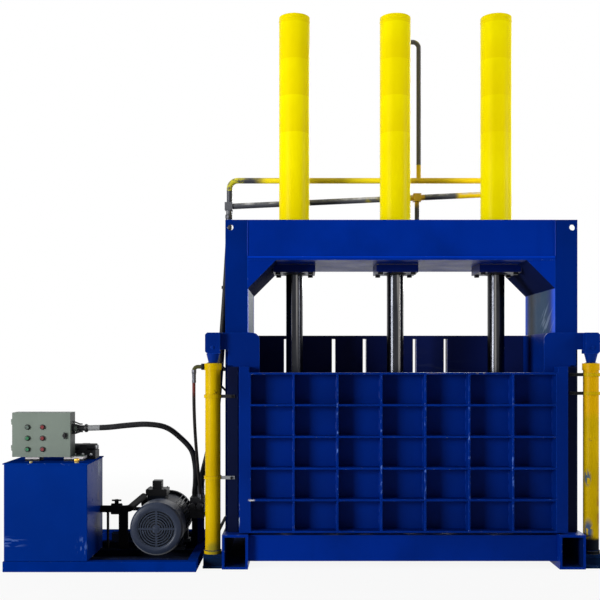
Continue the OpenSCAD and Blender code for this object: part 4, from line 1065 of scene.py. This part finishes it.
class Fettler:
    """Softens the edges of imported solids, as a grinder and paint leave them."""

    latticed = ("skid", "gate_rib_grid")
    joined = 1e-5
    flat = math.radians(0.8)
    sharp = math.radians(32)

    def __init__(self) -> None:
        """Makes the node group that joins a solid's triangles and shades them smooth."""
        self.group = bpy.data.node_groups.new("joined_skin", "GeometryNodeTree")
        for way in ("INPUT", "OUTPUT"):
            self.group.interface.new_socket("Geometry", in_out=way, socket_type="NodeSocketGeometry")
        chain = [
            self.group.nodes.new(kind) for kind in (
                "NodeGroupInput", "GeometryNodeRemoveAttribute", "GeometryNodeMergeByDistance",
                "GeometryNodeSetShadeSmooth", "NodeGroupOutput",
            )
        ]
        _, plain, merge, smooth, _ = chain
        plain.inputs["Name"].default_value = "custom_normal"
        merge.inputs["Distance"].default_value = self.joined
        smooth.inputs["Shade Smooth"].default_value = True
        for left, right in zip(chain, chain[1:]):
            self.group.links.new(left.outputs[0], right.inputs[0])

    def soften(self, node: str, edge: float) -> None:
        """Rounds a solid's edges with modifiers, joining flat faces first unless holes cut them up.

        Args:
            node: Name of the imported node.
            edge: Width of the rounding.
        """
        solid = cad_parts[node]
        skin = solid.modifiers.new("joined_skin", "NODES")
        skin.node_group = self.group
        if node not in self.latticed:
            flat = solid.modifiers.new("flat_faces", "DECIMATE")
            flat.decimate_type = "DISSOLVE"
            flat.angle_limit = self.flat
        bevel = solid.modifiers.new("soft_edges", "BEVEL")
        bevel.width = edge
        bevel.segments = 2
        bevel.limit_method = "ANGLE"
        bevel.angle_limit = self.sharp
        bevel.harden_normals = True
        bevel.use_clamp_overlap = True


FETTLER = Fettler()


class Coat:
    """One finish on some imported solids, with the width of their rounded edges."""

    def __init__(self, finish: Finish, edge: float, *nodes: str) -> None:
        """Takes what the coat is and where it goes.

        Args:
            finish: The finish.
            edge: Width of the rounded edges.
            nodes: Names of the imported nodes.
        """
        self.finish = finish
        self.edge = edge
        self.nodes = nodes

    def lay(self) -> None:
        """Softens the solids and gives them the finish."""
        for node in self.nodes:
            FETTLER.soften(node, self.edge)
            SHOP.coat(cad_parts[node], self.finish)
            LOG.info("%s has %s", node, self.finish.name)


class SubAssembly:
    """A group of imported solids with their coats, and the small fittings that go on them."""

    coats: ClassVar[tuple[Coat, ...]] = ()

    def fit(self) -> None:
        """Adds the fittings, where there are any."""

    def build(self) -> None:
        """Dresses the solids and adds the fittings."""
        for coat in self.coats:
            coat.lay()
        self.fit()


@dataclass(frozen=True)
class Lamp:
    """A soft square lamp, with its place, the point that it faces, its side and its power."""

    name: str
    at: Point
    aim: Point
    size: float
    watts: float

    def hang(self) -> None:
        """Adds the lamp to the scene."""
        data = bpy.data.lights.new(self.name, "AREA")
        data.shape = "SQUARE"
        data.size = self.size
        data.energy = self.watts
        lamp = put(self.name, data)
        lamp.location = self.at
        lamp.rotation_euler = (Vector(self.aim) - Vector(self.at)).to_track_quat("-Z", "Y").to_euler()


@dataclass
class Studio:
    """Camera, lamps, pale floor and white surroundings."""

    eye: Point = (-0.666, -6.4, 1.37)
    focal_px: float = 895.5
    frame_px: float = 600.0
    horizon_px: float = 360.0
    centre_px: float = 302.0
    sensor: float = 36.0
    floor_half: float = 40.0
    floor_fade: tuple[float, float] = (2.2, 6.0)
    ambient: float = 0.07
    lamps: tuple[Lamp, ...] = (
        Lamp("key", (-7.7, -6.0, 2.3), (-0.3, -0.45, 1.4), 2.8, 900.0),
        Lamp("front_fill", (2.5, -9.0, 4.0), (0.0, 0.0, 1.5), 5.0, 12.0),
        Lamp("top_fill", (-0.5, -1.0, 8.0), (-0.5, 0.0, 1.5), 5.0, 70.0),
        Lamp("back_fill", (3.0, 8.0, 4.5), (-0.3, 0.0, 1.5), 4.0, 420.0),
        Lamp("side_fill", (6.0, -1.6, 3.2), (0.0, -0.3, 2.2), 2.5, 260.0),
    )

    def place_camera(self) -> None:
        """Sets the level camera of the photograph's view."""
        data = bpy.data.cameras.new("camera")
        data.sensor_width = self.sensor
        data.lens = self.focal_px / self.frame_px * self.sensor
        data.shift_x = (self.frame_px / 2 - self.centre_px) / self.frame_px
        data.shift_y = (self.horizon_px - self.frame_px / 2) / self.frame_px
        camera = put("camera", data)
        camera.location = self.eye
        camera.rotation_euler = (math.radians(90), 0, 0)
        bpy.context.scene.camera = camera

    @staticmethod
    def seen(tree: NodeTree) -> NodeSocket:
        """1 for rays that show the surroundings: to the camera, in gloss and through glass.

        Args:
            tree: Node tree that asks.

        Returns:
            The value.
        """
        path = tree.nodes.new("ShaderNodeLightPath")
        total = path.outputs["Is Camera Ray"]
        for name in ("Is Glossy Ray", "Is Transmission Ray"):
            larger = tree.nodes.new("ShaderNodeMath")
            larger.operation = "MAXIMUM"
            tree.links.new(total, larger.inputs[0])
            tree.links.new(path.outputs[name], larger.inputs[1])
            total = larger.outputs["Value"]
        return total

    def light(self) -> None:
        """White surroundings, a key from the left and soft fills from the other sides."""
        world = bpy.data.worlds.new("surroundings")
        world.use_nodes = True
        tree = world.node_tree
        sky = tree.nodes["Background"]
        sky.inputs["Color"].default_value = (1, 1, 1, 1)
        level = tree.nodes.new("ShaderNodeMapRange")
        level.inputs["To Min"].default_value = self.ambient
        level.inputs["To Max"].default_value = 1.0
        tree.links.new(self.seen(tree), level.inputs["Value"])
        tree.links.new(level.outputs["Result"], sky.inputs["Strength"])
        bpy.context.scene.world = world
        for lamp in self.lamps:
            lamp.hang()
        bpy.context.scene.view_settings.view_transform = "Standard"

    def lay_floor(self) -> None:
        """Pale floor that keeps the shadow near the machine and fades to white far off."""
        blank = bmesh.new()
        bmesh.ops.create_grid(blank, x_segments=4, y_segments=4, size=self.floor_half)
        mesh = bpy.data.meshes.new("floor")
        blank.to_mesh(mesh)
        blank.free()
        floor = put("floor", mesh)
        graph = Graph("pale_floor")
        colour = graph.mix(graph.noise(0.7), tone(206, 206, 206), tone(214, 214, 214))
        mesh.materials.append(graph.surface(Base_Color=colour, Roughness=0.9, Specular_IOR_Level=0.0))
        far = graph.step(graph.vector("LENGTH", graph.place).outputs["Value"], *self.floor_fade)
        share = graph.times(graph.slope(far, 0.1, 0.9), self.seen(graph.tree))
        blend = graph.add("ShaderNodeMixShader", Fac=share)
        graph.feed(blend.inputs[1], graph.shader.outputs["BSDF"])
        graph.feed(blend.inputs[2], graph.add("ShaderNodeEmission").outputs["Emission"])
        graph.feed(graph.tree.nodes["Material Output"].inputs["Surface"], blend.outputs["Shader"])


@dataclass
class Hose:
    """A free hose or cable along its route."""

    name: str
    node: str
    diameter: float
    route: list[Point]
    finish: Wrapped
    slot: Slot
    stiffness: str = "medium"
    samples: int = 3

    def at(self, i: int, t: float) -> Vector:
        """Point of the smooth curve through the route.

        Args:
            i: Segment of the route.
            t: Share of the segment, 0 to 1.

        Returns:
            The point.
        """
        p = [Vector(q) for q in self.route]
        last = len(p) - 1
        a = p[i - 1] if i > 0 else 2 * p[0] - p[1]
        b = p[i]
        c = p[i + 1]
        d = p[i + 2] if i + 2 <= last else 2 * p[last] - p[last - 1]
        square = 2 * a - 5 * b + 4 * c - d
        cube = 3 * b - a - 3 * c + d
        return 0.5 * (2 * b + (c - a) * t + square * t * t + cube * t * t * t)

    def line(self) -> list[Vector]:
        """Follows the whole curve.

        Returns:
            Points along it, the route's own among them.
        """
        count = len(self.route) - 1
        points = [self.at(i, k / self.samples) for i in range(count) for k in range(self.samples)]
        return points + [Vector(self.route[-1])]

    def lay(self, fitting: Object) -> None:
        """Args:
            fitting: Piece that is on the hose's ends; not used.
        """
        points = self.line()
        curve = bpy.data.curves.new(self.name, "CURVE")
        curve.dimensions = "3D"
        curve.bevel_depth = self.diameter / 2
        curve.bevel_resolution = 5
        curve.resolution_u = 6
        curve.use_fill_caps = True
        spline = curve.splines.new("BEZIER")
        last = len(points) - 1
        spline.bezier_points.add(last)
        for i, (knot, point) in enumerate(zip(spline.bezier_points, points)):
            before = points[max(i - 1, 0)]
            after = points[min(i + 1, last)]
            reach = (after - before) / (6 if 0 < i < last else 3)
            knot.co = point
            knot.handle_left = point - reach
            knot.handle_right = point + reach
        made = put(self.name, curve)
        SHOP.coat(made, self.finish)
        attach(made, Body.FRAME.value)
        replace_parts(made, self.node)


@dataclass
class HoseSet(SubAssembly):
    """The two main hoses, the gate cylinder's hose and the control cable."""

    main_d: float = 0.038
    lift_d: float = 0.022
    cable_d: float = 0.038
    ferrule: float = 0.075
    grooves: Outline = (
        (0.16, 1.0), (0.24, 0.55), (0.34, 1.0), (0.44, 0.55), (0.54, 1.0), (0.64, 0.55), (0.76, 1.0),
    )
    nut_h: float = 0.03
    play: float = 0.0003
    gland_nut: tuple[float, float] = (0.062, 0.016)
    gland_sunk: float = 0.002
    lead_r: float = 0.0045
    lead_sunk: float = 0.003
    lead_slant: float = 22.0
    lead_legs: tuple[float, float, float] = (0.014, 0.037, 0.02)
    leads: Outline = ((0.004, 0.041), (-0.03, 0.026), (0.03, 0.022), (-0.026, -0.032), (0.02, -0.037))
    tape: Outline = (
        (0.0004, 0.048), (0.006, 0.05), (0.0085, 0.054), (0.0085, 0.064), (0.003, 0.07), (0.0004, 0.071),
    )

    def crimp(self, blank: Blank, at: Point, diameter: float, down: bool) -> None:
        """Adds a crimped ferrule and its hexagon nut at the end of a vertical stretch.

        Args:
            blank: Mesh that it joins.
            at: End of the hose.
            diameter: Diameter of the hose.
            down: True if the hose runs down from this end.
        """
        way = -1.0 if down else 1.0
        wall = 0.12 * diameter
        size = 0.6 + 0.4 * diameter / self.main_d
        length = self.ferrule * size
        section = [(self.play, 0.0), (wall, 0.0)]
        section += [(wall * depth, length * share) for share, depth in self.grooves]
        section += [(0.8 * wall, length), (self.play, length)]
        blank.lathe([(diameter / 2 + proud, way * height) for proud, height in section], at, Axis.Z, 24)
        nut_h = self.nut_h * size
        blank.hexagon((at[0], at[1], at[2] - way * nut_h), Axis.Z, 1.55 * diameter, way * nut_h)

    def gather(self, blank: Blank, at: Point) -> None:
        """Adds the gland's nut, the loose leads that come together on the cable and the tape round them.

        Args:
            blank: Mesh that they join.
            at: Start of the cable at the box's gland.
        """
        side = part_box("control_door")[1].x - self.gland_sunk
        blank.hexagon((side, at[1], at[2]), Axis.X, *self.gland_nut)
        for dy, dz in self.leads:
            axis = tuple(Vector(Axis.X.value).cross(-Vector((0.0, dy, dz)).normalized()))
            turns = (self.lead_slant, -self.lead_slant, 0.0)
            legs = [(length, turn, axis) for length, turn in zip(self.lead_legs, turns)]
            blank.rod((side - self.lead_sunk, at[1] + dy, at[2] + dz), Axis.X.value, self.lead_r, legs)
        blank.lathe(collar(self.cable_d / 2, self.tape), at, Axis.X, 28)

    def fit(self) -> None:
        """Lays the four cords with their end fittings."""
        hoses = [
            Hose("main_pressure_hose", "pressure_hose", self.main_d, [
                (-1.204, 0.25, 2.48), (-1.206, 0.25, 2.4), (-1.212, 0.232, 2.2), (-1.226, 0.2, 1.9),
                (-1.242, 0.165, 1.6), (-1.258, 0.13, 1.3), (-1.282, 0.098, 1.0), (-1.325, 0.072, 0.76),
                (-1.375, 0.058, 0.56), (-1.391, 0.055, 0.46), (-1.392, 0.055, 0.395),
            ], HOSE_RUBBER, Slot.RUBBER, "stiff"),
            Hose("main_return_hose", "return_hose", self.main_d, [
                (-1.204, 0.19, 2.408), (-1.206, 0.19, 2.34), (-1.214, 0.172, 2.15), (-1.23, 0.14, 1.85),
                (-1.248, 0.105, 1.55), (-1.266, 0.07, 1.25), (-1.292, 0.038, 0.96), (-1.336, 0.01, 0.73),
                (-1.38, -0.003, 0.55), (-1.391, -0.005, 0.46), (-1.392, -0.005, 0.395),
            ], HOSE_RUBBER, Slot.RUBBER, "stiff"),
            Hose("gate_cylinder_hose", "lift_hose", self.lift_d, [
                (-1.386, -0.43, 1.28), (-1.387, -0.428, 1.2), (-1.388, -0.41, 1.06), (-1.388, -0.36, 0.9),
                (-1.386, -0.285, 0.74), (-1.384, -0.195, 0.59), (-1.384, -0.105, 0.478),
                (-1.385, -0.052, 0.43), (-1.385, -0.045, 0.395),
            ], LIFT_RUBBER, Slot.RUBBER),
        ]
        for hose in hoses:
            blank = Blank()
            self.crimp(blank, hose.route[0], hose.diameter, True)
            self.crimp(blank, hose.route[-1], hose.diameter, False)
            hose.lay(blank.piece(hose.name + "_ferrules", DARK_STEEL, Slot.ZINC))
        cable = Hose("control_cable_run", "control_cable", self.cable_d, [
            (-2.162, -0.43, 0.916), (-2.09, -0.43, 0.917), (-1.96, -0.422, 0.921), (-1.83, -0.4, 0.933),
            (-1.71, -0.352, 0.936), (-1.6, -0.286, 0.912), (-1.52, -0.213, 0.846), (-1.44, -0.142, 0.742),
            (-1.42, -0.076, 0.62), (-1.426, -0.01, 0.5), (-1.437, 0.036, 0.43), (-1.438, 0.04, 0.395),
        ], CABLE_SKIN, Slot.SLEEVE)
        blank = Blank()
        self.gather(blank, cable.route[0])
        cable.lay(blank.piece("cable_leads", BLACK_PLASTIC, Slot.PLASTIC))


@dataclass
class PressFrame(SubAssembly):
    """Base, columns, beam and chamber walls, with their welds and hooks."""

    coats: ClassVar[tuple[Coat, ...]] = (
        Coat(FRAME_ENAMEL, 0.003, "base_frame"),
        Coat(COLUMN_ENAMEL, 0.003, "left_column", "right_column"),
        Coat(BEAM_ENAMEL, 0.003, "top_beam"),
        Coat(CHAMBER_ENAMEL, 0.002, "back_wall"),
        Coat(SIDE_ENAMEL, 0.002, "side_walls"),
        Coat(GUIDE_ENAMEL, 0.002, "gate_guides"),
        Coat(WEAR_STEEL, 0.002, "bed_planks"),
    )
    bead_r: float = 0.0045
    bead_in: float = 0.004
    beam_bead_in: float = 0.01
    flange_top: float = 2.065
    hook_r: float = 0.0072
    hook_root: tuple[float, float] = (0.014, 0.01)
    hook_tip: float = 0.006
    hook_bend: float = 35.0
    hooks: Outline = ((1.292, 0.045), (1.152, 0.062))

    def weld(self) -> None:
        """Runs beads along the column, beam and foot joints."""
        low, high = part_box("top_beam")
        inner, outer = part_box("right_column")
        faces = (-outer.y, outer.y)
        blank = Blank()
        for side in (-1, 1):
            seam = side * inner.x
            start = side * (inner.x + self.bead_in)
            end = side * (outer.x - self.bead_in)
            for y in faces:
                blank.bead((seam, y, self.flange_top), (seam, y, high.z - self.bead_in), self.bead_r)
                blank.bead((start, y, inner.z), (end, y, inner.z), self.bead_r)
        for y in faces:
            start = low.x + self.beam_bead_in
            end = high.x - self.beam_bead_in
            blank.bead((start, y, self.flange_top), (end, y, self.flange_top), self.bead_r)
        blank.piece("frame_welds", WELD_ENAMEL, Slot.BLUE)

    def hook(self) -> None:
        """Adds the two hose hooks on the left column's outer edge."""
        blank = Blank()
        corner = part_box("left_column")[0]
        axis = Axis.Y.value
        for z, reach in self.hooks:
            start = (corner.x + self.hook_root[0], corner.y + self.hook_root[1], z)
            legs = [(reach, self.hook_bend, axis), (self.hook_tip, 0.0, axis)]
            blank.rod(start, (-1, 0, 1.05), self.hook_r, legs)
        blank.piece("hose_hooks", BLACK_ENAMEL, Slot.BLACK)

    def fit(self) -> None:
        """Adds the welds and hooks."""
        self.weld()
        self.hook()


@dataclass
class FrontGate(SubAssembly):
    """Ribbed front gate with its lift ears, rods and welds."""

    coats: ClassVar[tuple[Coat, ...]] = (
        Coat(GATE_ENAMEL, 0.0022, "gate_plate", "gate_rib_grid", "left_lift_ear", "right_lift_ear"),
        Coat(LIFT_ROD, 0.001, "lift_rods"),
    )
    columns: int = 7
    rows: int = 5
    rib: float = 0.012
    post: float = 0.065
    bead_r: float = 0.0045
    bead_in: float = 0.014
    ripple: float = 0.012
    stitch: float = 0.055
    stitches: tuple[float, float] = (0.3, 0.7)

    def fit(self) -> None:
        """Runs beads in the corners of every cell and stitches up its sides."""
        low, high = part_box("gate_plate")
        grid_low, grid_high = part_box("gate_rib_grid")
        half = grid_high.x - self.post
        pitch_x = (2 * half - self.rib) / self.columns
        pitch_z = (high.z - low.z - self.rib) / self.rows
        back = low.y
        front = grid_low.y + self.bead_in
        span = self.stitch / 2
        blank = Blank()
        for i in range(self.columns):
            for j in range(self.rows):
                floor = low.z + j * pitch_z + self.rib
                roof = low.z + (j + 1) * pitch_z
                for x in (-half + i * pitch_x + self.rib, -half + (i + 1) * pitch_x):
                    for z in (floor, roof):
                        blank.bead((x, back, z), (x, front, z), self.bead_r, self.ripple)
                    for share in self.stitches:
                        z = floor + share * (roof - floor)
                        blank.bead((x, back, z - span), (x, back, z + span), self.bead_r, self.ripple)
        blank.piece("gate_welds", GATE_WELD_ENAMEL, Slot.BLUE, Body.GATE.value)


@dataclass
class PressCylinders(SubAssembly):
    """Three press cylinders with rods, platen, seals and port nuts."""

    coats: ClassVar[tuple[Coat, ...]] = (
        Coat(BARREL_ENAMEL, 0.003, "left_press_cylinder", "centre_press_cylinder", "right_press_cylinder"),
        Coat(CHROME, 0.0015, "left_press_rod", "centre_press_rod", "right_press_rod"),
        Coat(BLACK_ENAMEL, 0.001, "cylinder_flange_bolts"),
        Coat(SIDE_ENAMEL, 0.002, "platen"),
        Coat(WEAR_STEEL, 0.002, "platen_shoes"),
    )
    pitch: float = 0.72
    barrel_r: float = 0.1095
    rod_r: float = 0.06
    port_out: float = 0.1345
    port_heights: tuple[float, float] = (3.73, 2.348)
    union_nut: tuple[float, float] = (0.0595, 0.026)
    bead_sunk: float = 0.001
    beam_bead_up: float = 0.001
    beam_bead: float = 0.005
    cap_bead: float = 0.003
    cap_h: float = 0.03
    wiper: Outline = (
        (0.0006, -0.01), (0.004, -0.0105), (0.014, -0.005), (0.02, -0.004), (0.02, 0.0), (0.0006, 0.0),
    )

    def fit(self) -> None:
        """Adds the wiper rings, the weld rings of barrels and end caps, and the ports' union nuts."""
        gland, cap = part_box("left_press_cylinder")
        beam_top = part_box("top_beam")[1].z
        wipers, welds, nuts = Blank(), Blank(), Blank()
        for x in (-self.pitch, 0.0, self.pitch):
            wipers.lathe(collar(self.rod_r, self.wiper), (x, 0.0, gland.z), Axis.Z, 48)
            for z, thick in (
                (beam_top + self.beam_bead_up, self.beam_bead), (cap.z - self.cap_h, self.cap_bead),
            ):
                welds.lathe(torus(self.barrel_r - self.bead_sunk, thick), (x, 0.0, z), Axis.Z, 64)
            for z in self.port_heights:
                nuts.hexagon((x, self.port_out, z), Axis.Y, *self.union_nut)
        wipers.piece("rod_wipers", WIPER_RUBBER, Slot.PLASTIC)
        welds.piece("barrel_welds", BARREL_ENAMEL, Slot.YELLOW)
        nuts.piece("port_nuts", DARK_STEEL, Slot.ZINC)


@dataclass
class GateCylinders(SubAssembly):
    """The two gate cylinders with brackets, clamps, seals and bolts."""

    coats: ClassVar[tuple[Coat, ...]] = (
        Coat(LEFT_LIFT_ENAMEL, 0.002, "left_lift_cylinder"),
        Coat(RIGHT_LIFT_ENAMEL, 0.002, "right_lift_cylinder"),
        Coat(BRACKET_ENAMEL, 0.002, "lift_brackets"),
        Coat(STRAP_ENAMEL, 0.0012, "lift_clamps"),
    )
    axis_x: float = 1.26
    axis_y: float = -0.43
    rod_r: float = 0.03
    barrel_r: float = 0.051
    head_top: float = 1.348
    base_top: float = 0.105
    base_bead: float = 0.004
    strap_x: float = 1.134
    strap_front: float = -0.454
    clamp_h: float = 0.022
    clamp_bolt: tuple[float, float] = (0.019, -0.008)
    right_clamps: tuple[float, float] = (1.262, 1.138)
    left_clamps: tuple[float, float] = (1.118, 0.578)
    elbow: tuple[float, float] = (-1.316, 1.325)
    elbow_nut: tuple[float, float] = (0.044, -0.022)
    wiper: Outline = ((0.0006, 0.0), (0.012, 0.0), (0.011, 0.003), (0.003, 0.006), (0.0006, 0.006))

    def fit(self) -> None:
        """Adds wiper rings, base welds, clamp bolts and the port's union nut."""
        wipers, welds, bolts = Blank(), Blank(), Blank()
        for side in (-1, 1):
            x = side * self.axis_x
            wipers.lathe(collar(self.rod_r, self.wiper), (x, self.axis_y, self.head_top), Axis.Z, 40)
            welds.lathe(torus(self.barrel_r, self.base_bead), (x, self.axis_y, self.base_top), Axis.Z, 48)
        for side, heights in ((1, self.right_clamps), (-1, self.left_clamps)):
            for z in heights:
                at = (side * self.strap_x, self.strap_front, z + self.clamp_h / 2)
                bolts.hexagon(at, Axis.Y, *self.clamp_bolt)
        bolts.hexagon((self.elbow[0], self.axis_y, self.elbow[1]), Axis.X, *self.elbow_nut)
        wipers.piece("gate_rod_wipers", WIPER_RUBBER, Slot.PLASTIC)
        welds.piece("gate_cylinder_welds", BRACKET_ENAMEL, Slot.YELLOW)
        bolts.piece("clamp_bolts", BLACK_ENAMEL, Slot.BLACK)


class Pipework(SubAssembly):
    """Steel pipes between the hoses and the cylinders, and the hoses' clamps."""

    coats: ClassVar[tuple[Coat, ...]] = (
        Coat(PRESSURE_PIPE_ENAMEL, 0.001, "pressure_pipe"),
        Coat(RETURN_PIPE_ENAMEL, 0.002, "return_pipe"),
        Coat(LINE_ENAMEL, 0.001, "lift_feed_pipe", "suction_pipe", "oil_lines"),
        Coat(BLACK_ENAMEL, 0.001, "hose_clamps"),
    )


@dataclass
class PowerUnit(SubAssembly):
    """Skid, oil tank, motor, pump, valves and filler cap."""

    coats: ClassVar[tuple[Coat, ...]] = (
        Coat(SKID_ENAMEL, 0.002, "skid"),
        Coat(TANK_ENAMEL, 0.005, "oil_tank"),
        Coat(LID_ENAMEL, 0.002, "tank_lid"),
        Coat(CAST_IRON, 0.0015, "valve_block", "hose_manifold", "pump"),
        Coat(MOTOR_ENAMEL, 0.0015, "motor_fan_cowl"),
        Coat(MOTOR_FRAME_ENAMEL, 0.0015, "motor_frame", "bell_housing"),
        Coat(BLACK_ENAMEL, 0.002, "motor_terminal_box", "suction_handle"),
        Coat(WEAR_STEEL, 0.001, "motor_shaft", "pump_coupling"),
        Coat(BLACK_PLASTIC, 0.001, "motor_fan"),
    )
    motor_x: float = -1.635
    motor_z: float = 0.247
    cowl_front: float = -0.452
    plate: float = 0.017
    plate_thick: float = 0.003
    plate_edge: float = 0.001
    bell_bolts: tuple[int, float, float] = (8, 0.13, 0.019)
    bell_seat: float = 0.015
    pump_bolts: tuple[int, float, float] = (4, 0.0875, 0.016)
    pump_seat: float = 0.025
    lid_seat: float = 0.044
    screw_in: float = 0.014
    screw: tuple[float, float] = (0.01, 0.005)
    coil_rows: tuple[float, float] = (0.03, 0.08)
    coil_up: float = 0.076
    coil_in: float = 0.008
    coil_nut: tuple[float, float] = (0.03, 0.01)
    plug_in: float = 0.03
    plug_second: float = 0.085
    plug: tuple[float, float] = (0.024, -0.009)
    knob_r: float = 0.0168
    knob_flutes: int = 12
    flute: float = 0.09
    stem_r: float = 0.0077
    stem_h: float = 0.0078

    def grille_plate(self) -> None:
        """Adds the blank square plate in the middle of the fan grille."""
        blank = Blank()
        low = (self.motor_x - self.plate, self.cowl_front - self.plate_thick, self.motor_z - self.plate)
        high = (self.motor_x + self.plate, self.cowl_front, self.motor_z + self.plate)
        blank.box(low, high, self.plate_edge)
        blank.piece("fan_plate", MOTOR_ENAMEL, Slot.MOTOR)

    def bolts(self) -> None:
        """Adds the bolts of the bell housing and pump and the screws of the terminal box."""
        blank = Blank()
        bell_low, bell_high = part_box("bell_housing")
        for (count, radius, across), seat in (
            (self.bell_bolts, bell_low.y + self.bell_seat), (self.pump_bolts, bell_high.y + self.pump_seat),
        ):
            for k in range(count):
                turn = 2 * math.pi * k / count
                x = self.motor_x + radius * math.cos(turn)
                z = self.motor_z + radius * math.sin(turn)
                blank.hexagon((x, seat, z), Axis.Y, across, 0.5 * across)
        low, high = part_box("motor_terminal_box")
        for x in (low.x + self.screw_in, high.x - self.screw_in):
            for y in (low.y + self.screw_in, high.y - self.screw_in):
                blank.hexagon((x, y, low.z + self.lid_seat), Axis.Z, *self.screw)
        blank.piece("motor_bolts", DARK_STEEL, Slot.ZINC)

    def coil_nuts(self) -> None:
        """Adds the plated end nuts of the valve's coils and the plugs of its block."""
        blank = Blank()
        low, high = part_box("valve_block")
        for row in self.coil_rows:
            at = (high.x - self.coil_in, low.y + row, low.z + self.coil_up)
            blank.hexagon(at, Axis.X, *self.coil_nut)
        for x in (low.x + self.plug_in, low.x + self.plug_second, high.x - self.plug_in):
            blank.hexagon((x, low.y, low.z + self.plug_in), Axis.Y, *self.plug)
        blank.piece("coil_nuts", ZINC, Slot.ZINC)

    def cap(self) -> None:
        """Replaces the plain filler cap by a grooved brass knob."""
        low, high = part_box("filler_cap")
        middle = (low + high) / 2
        blank = Blank()
        r = self.knob_r
        height = high.z - low.z
        blank.lathe(
            [(0.0, 0.0), (self.stem_r, 0.0), (self.stem_r, self.stem_h), (r - 0.002, self.stem_h + 0.0004),
             (r, self.stem_h + 0.0027), (r, height - 0.006), (r - 0.003, height - 0.002), (r - 0.007, height),
             (0.0, height)],
            (middle.x, middle.y, low.z), Axis.Z, 48,
        )
        for vert in blank.bm.verts:
            spoke = vert.co.xy - middle.xy
            if spoke.length > r - 0.0005:
                groove = 0.5 + 0.5 * math.cos(self.knob_flutes * math.atan2(spoke.y, spoke.x))
                vert.co.xy = middle.xy + spoke * (1.0 - self.flute * groove)
        knob = blank.piece("filler_knob", BRASS, Slot.BRASS, Body.FILLER_CAP.value)
        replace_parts(knob, "filler_cap")

    def fit(self) -> None:
        """Adds the plate, bolts, coil nuts and filler knob."""
        self.grille_plate()
        self.bolts()
        self.coil_nuts()
        self.cap()


@dataclass
class ControlBox(SubAssembly):
    """Control box with hinged door, lock and push buttons."""

    coats: ClassVar[tuple[Coat, ...]] = (
        Coat(BOX_ENAMEL, 0.0015, "control_box", "control_door"),
        Coat(BLACK_PLASTIC, 0.0008, "door_lock"),
    )
    cap_r: float = 0.0117
    door_front: float = -0.5
    bezel_r: float = 0.0178
    bezel_bore: float = 0.0125
    bezel_proud: float = 0.0068
    bezel_sunk: float = 0.0002
    columns: tuple[float, float] = (-2.474, -2.375)
    heights: tuple[float, float, float] = (0.928, 0.855, 0.782)

    def button(self, name: str, finish: Moulded, slot: Slot) -> None:
        """Replaces one plain button by a dished cap.

        Args:
            name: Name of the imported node, which is its body too.
            finish: Its plastic.
            slot: Material slot of the record.
        """
        low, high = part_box(name)
        middle = (low + high) / 2
        depth = high.y - low.y
        r = self.cap_r
        blank = Blank()
        blank.lathe(
            [(0.0, 0.0), (r, 0.0), (r, depth - 0.0022), (r - 0.0008, depth - 0.0006), (r - 0.0022, depth),
             (r - 0.004, depth - 0.0003), (0.6 * r, depth - 0.0012), (0.0, depth - 0.0016)],
            (middle.x, high.y, middle.z), Axis.Y, 40,
        )
        for vert in blank.bm.verts:
            vert.co.y = 2 * high.y - vert.co.y
        bmesh.ops.recalc_face_normals(blank.bm, faces=blank.bm.faces[:])
        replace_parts(blank.piece(name + "_cap", finish, slot, name), name)

    def bezels(self) -> None:
        """Adds a black ring round each button."""
        blank = Blank()
        proud = self.bezel_proud
        outline = [
            (self.bezel_r, -self.bezel_sunk), (self.bezel_r, -proud + 0.002), (self.bezel_r - 0.0016, -proud),
            (self.bezel_bore + 0.0013, -proud), (self.bezel_bore, -proud + 0.0014),
            (self.bezel_bore, -self.bezel_sunk),
        ]
        for x in self.columns:
            for z in self.heights:
                blank.lathe(outline, (x, self.door_front, z), Axis.Y, 40)
        blank.piece("button_bezels", BLACK_PLASTIC, Slot.PLASTIC, Body.DOOR.value)

    def fit(self) -> None:
        """Makes the buttons, the topmost green one darker, and their bezels."""
        for row in (1, 2, 3):
            self.button(f"start_button_{row}", DARK_GREEN_CAP if row == 1 else GREEN_CAP, Slot.GREEN)
            self.button(f"stop_button_{row}", RED_CAP, Slot.RED)
        self.bezels()


def main() -> None:
    """Builds the camera, the cords, each sub-assembly and the studio in order."""
    logging.basicConfig(level=logging.INFO, format="%(message)s")
    studio = Studio()
    studio.place_camera()
    for part in (
        HoseSet(), PressFrame(), FrontGate(), PressCylinders(), GateCylinders(), Pipework(), PowerUnit(),
        ControlBox(),
    ):
        part.build()
    studio.light()
    studio.lay_floor()


if __name__ == "__main__":
    main()
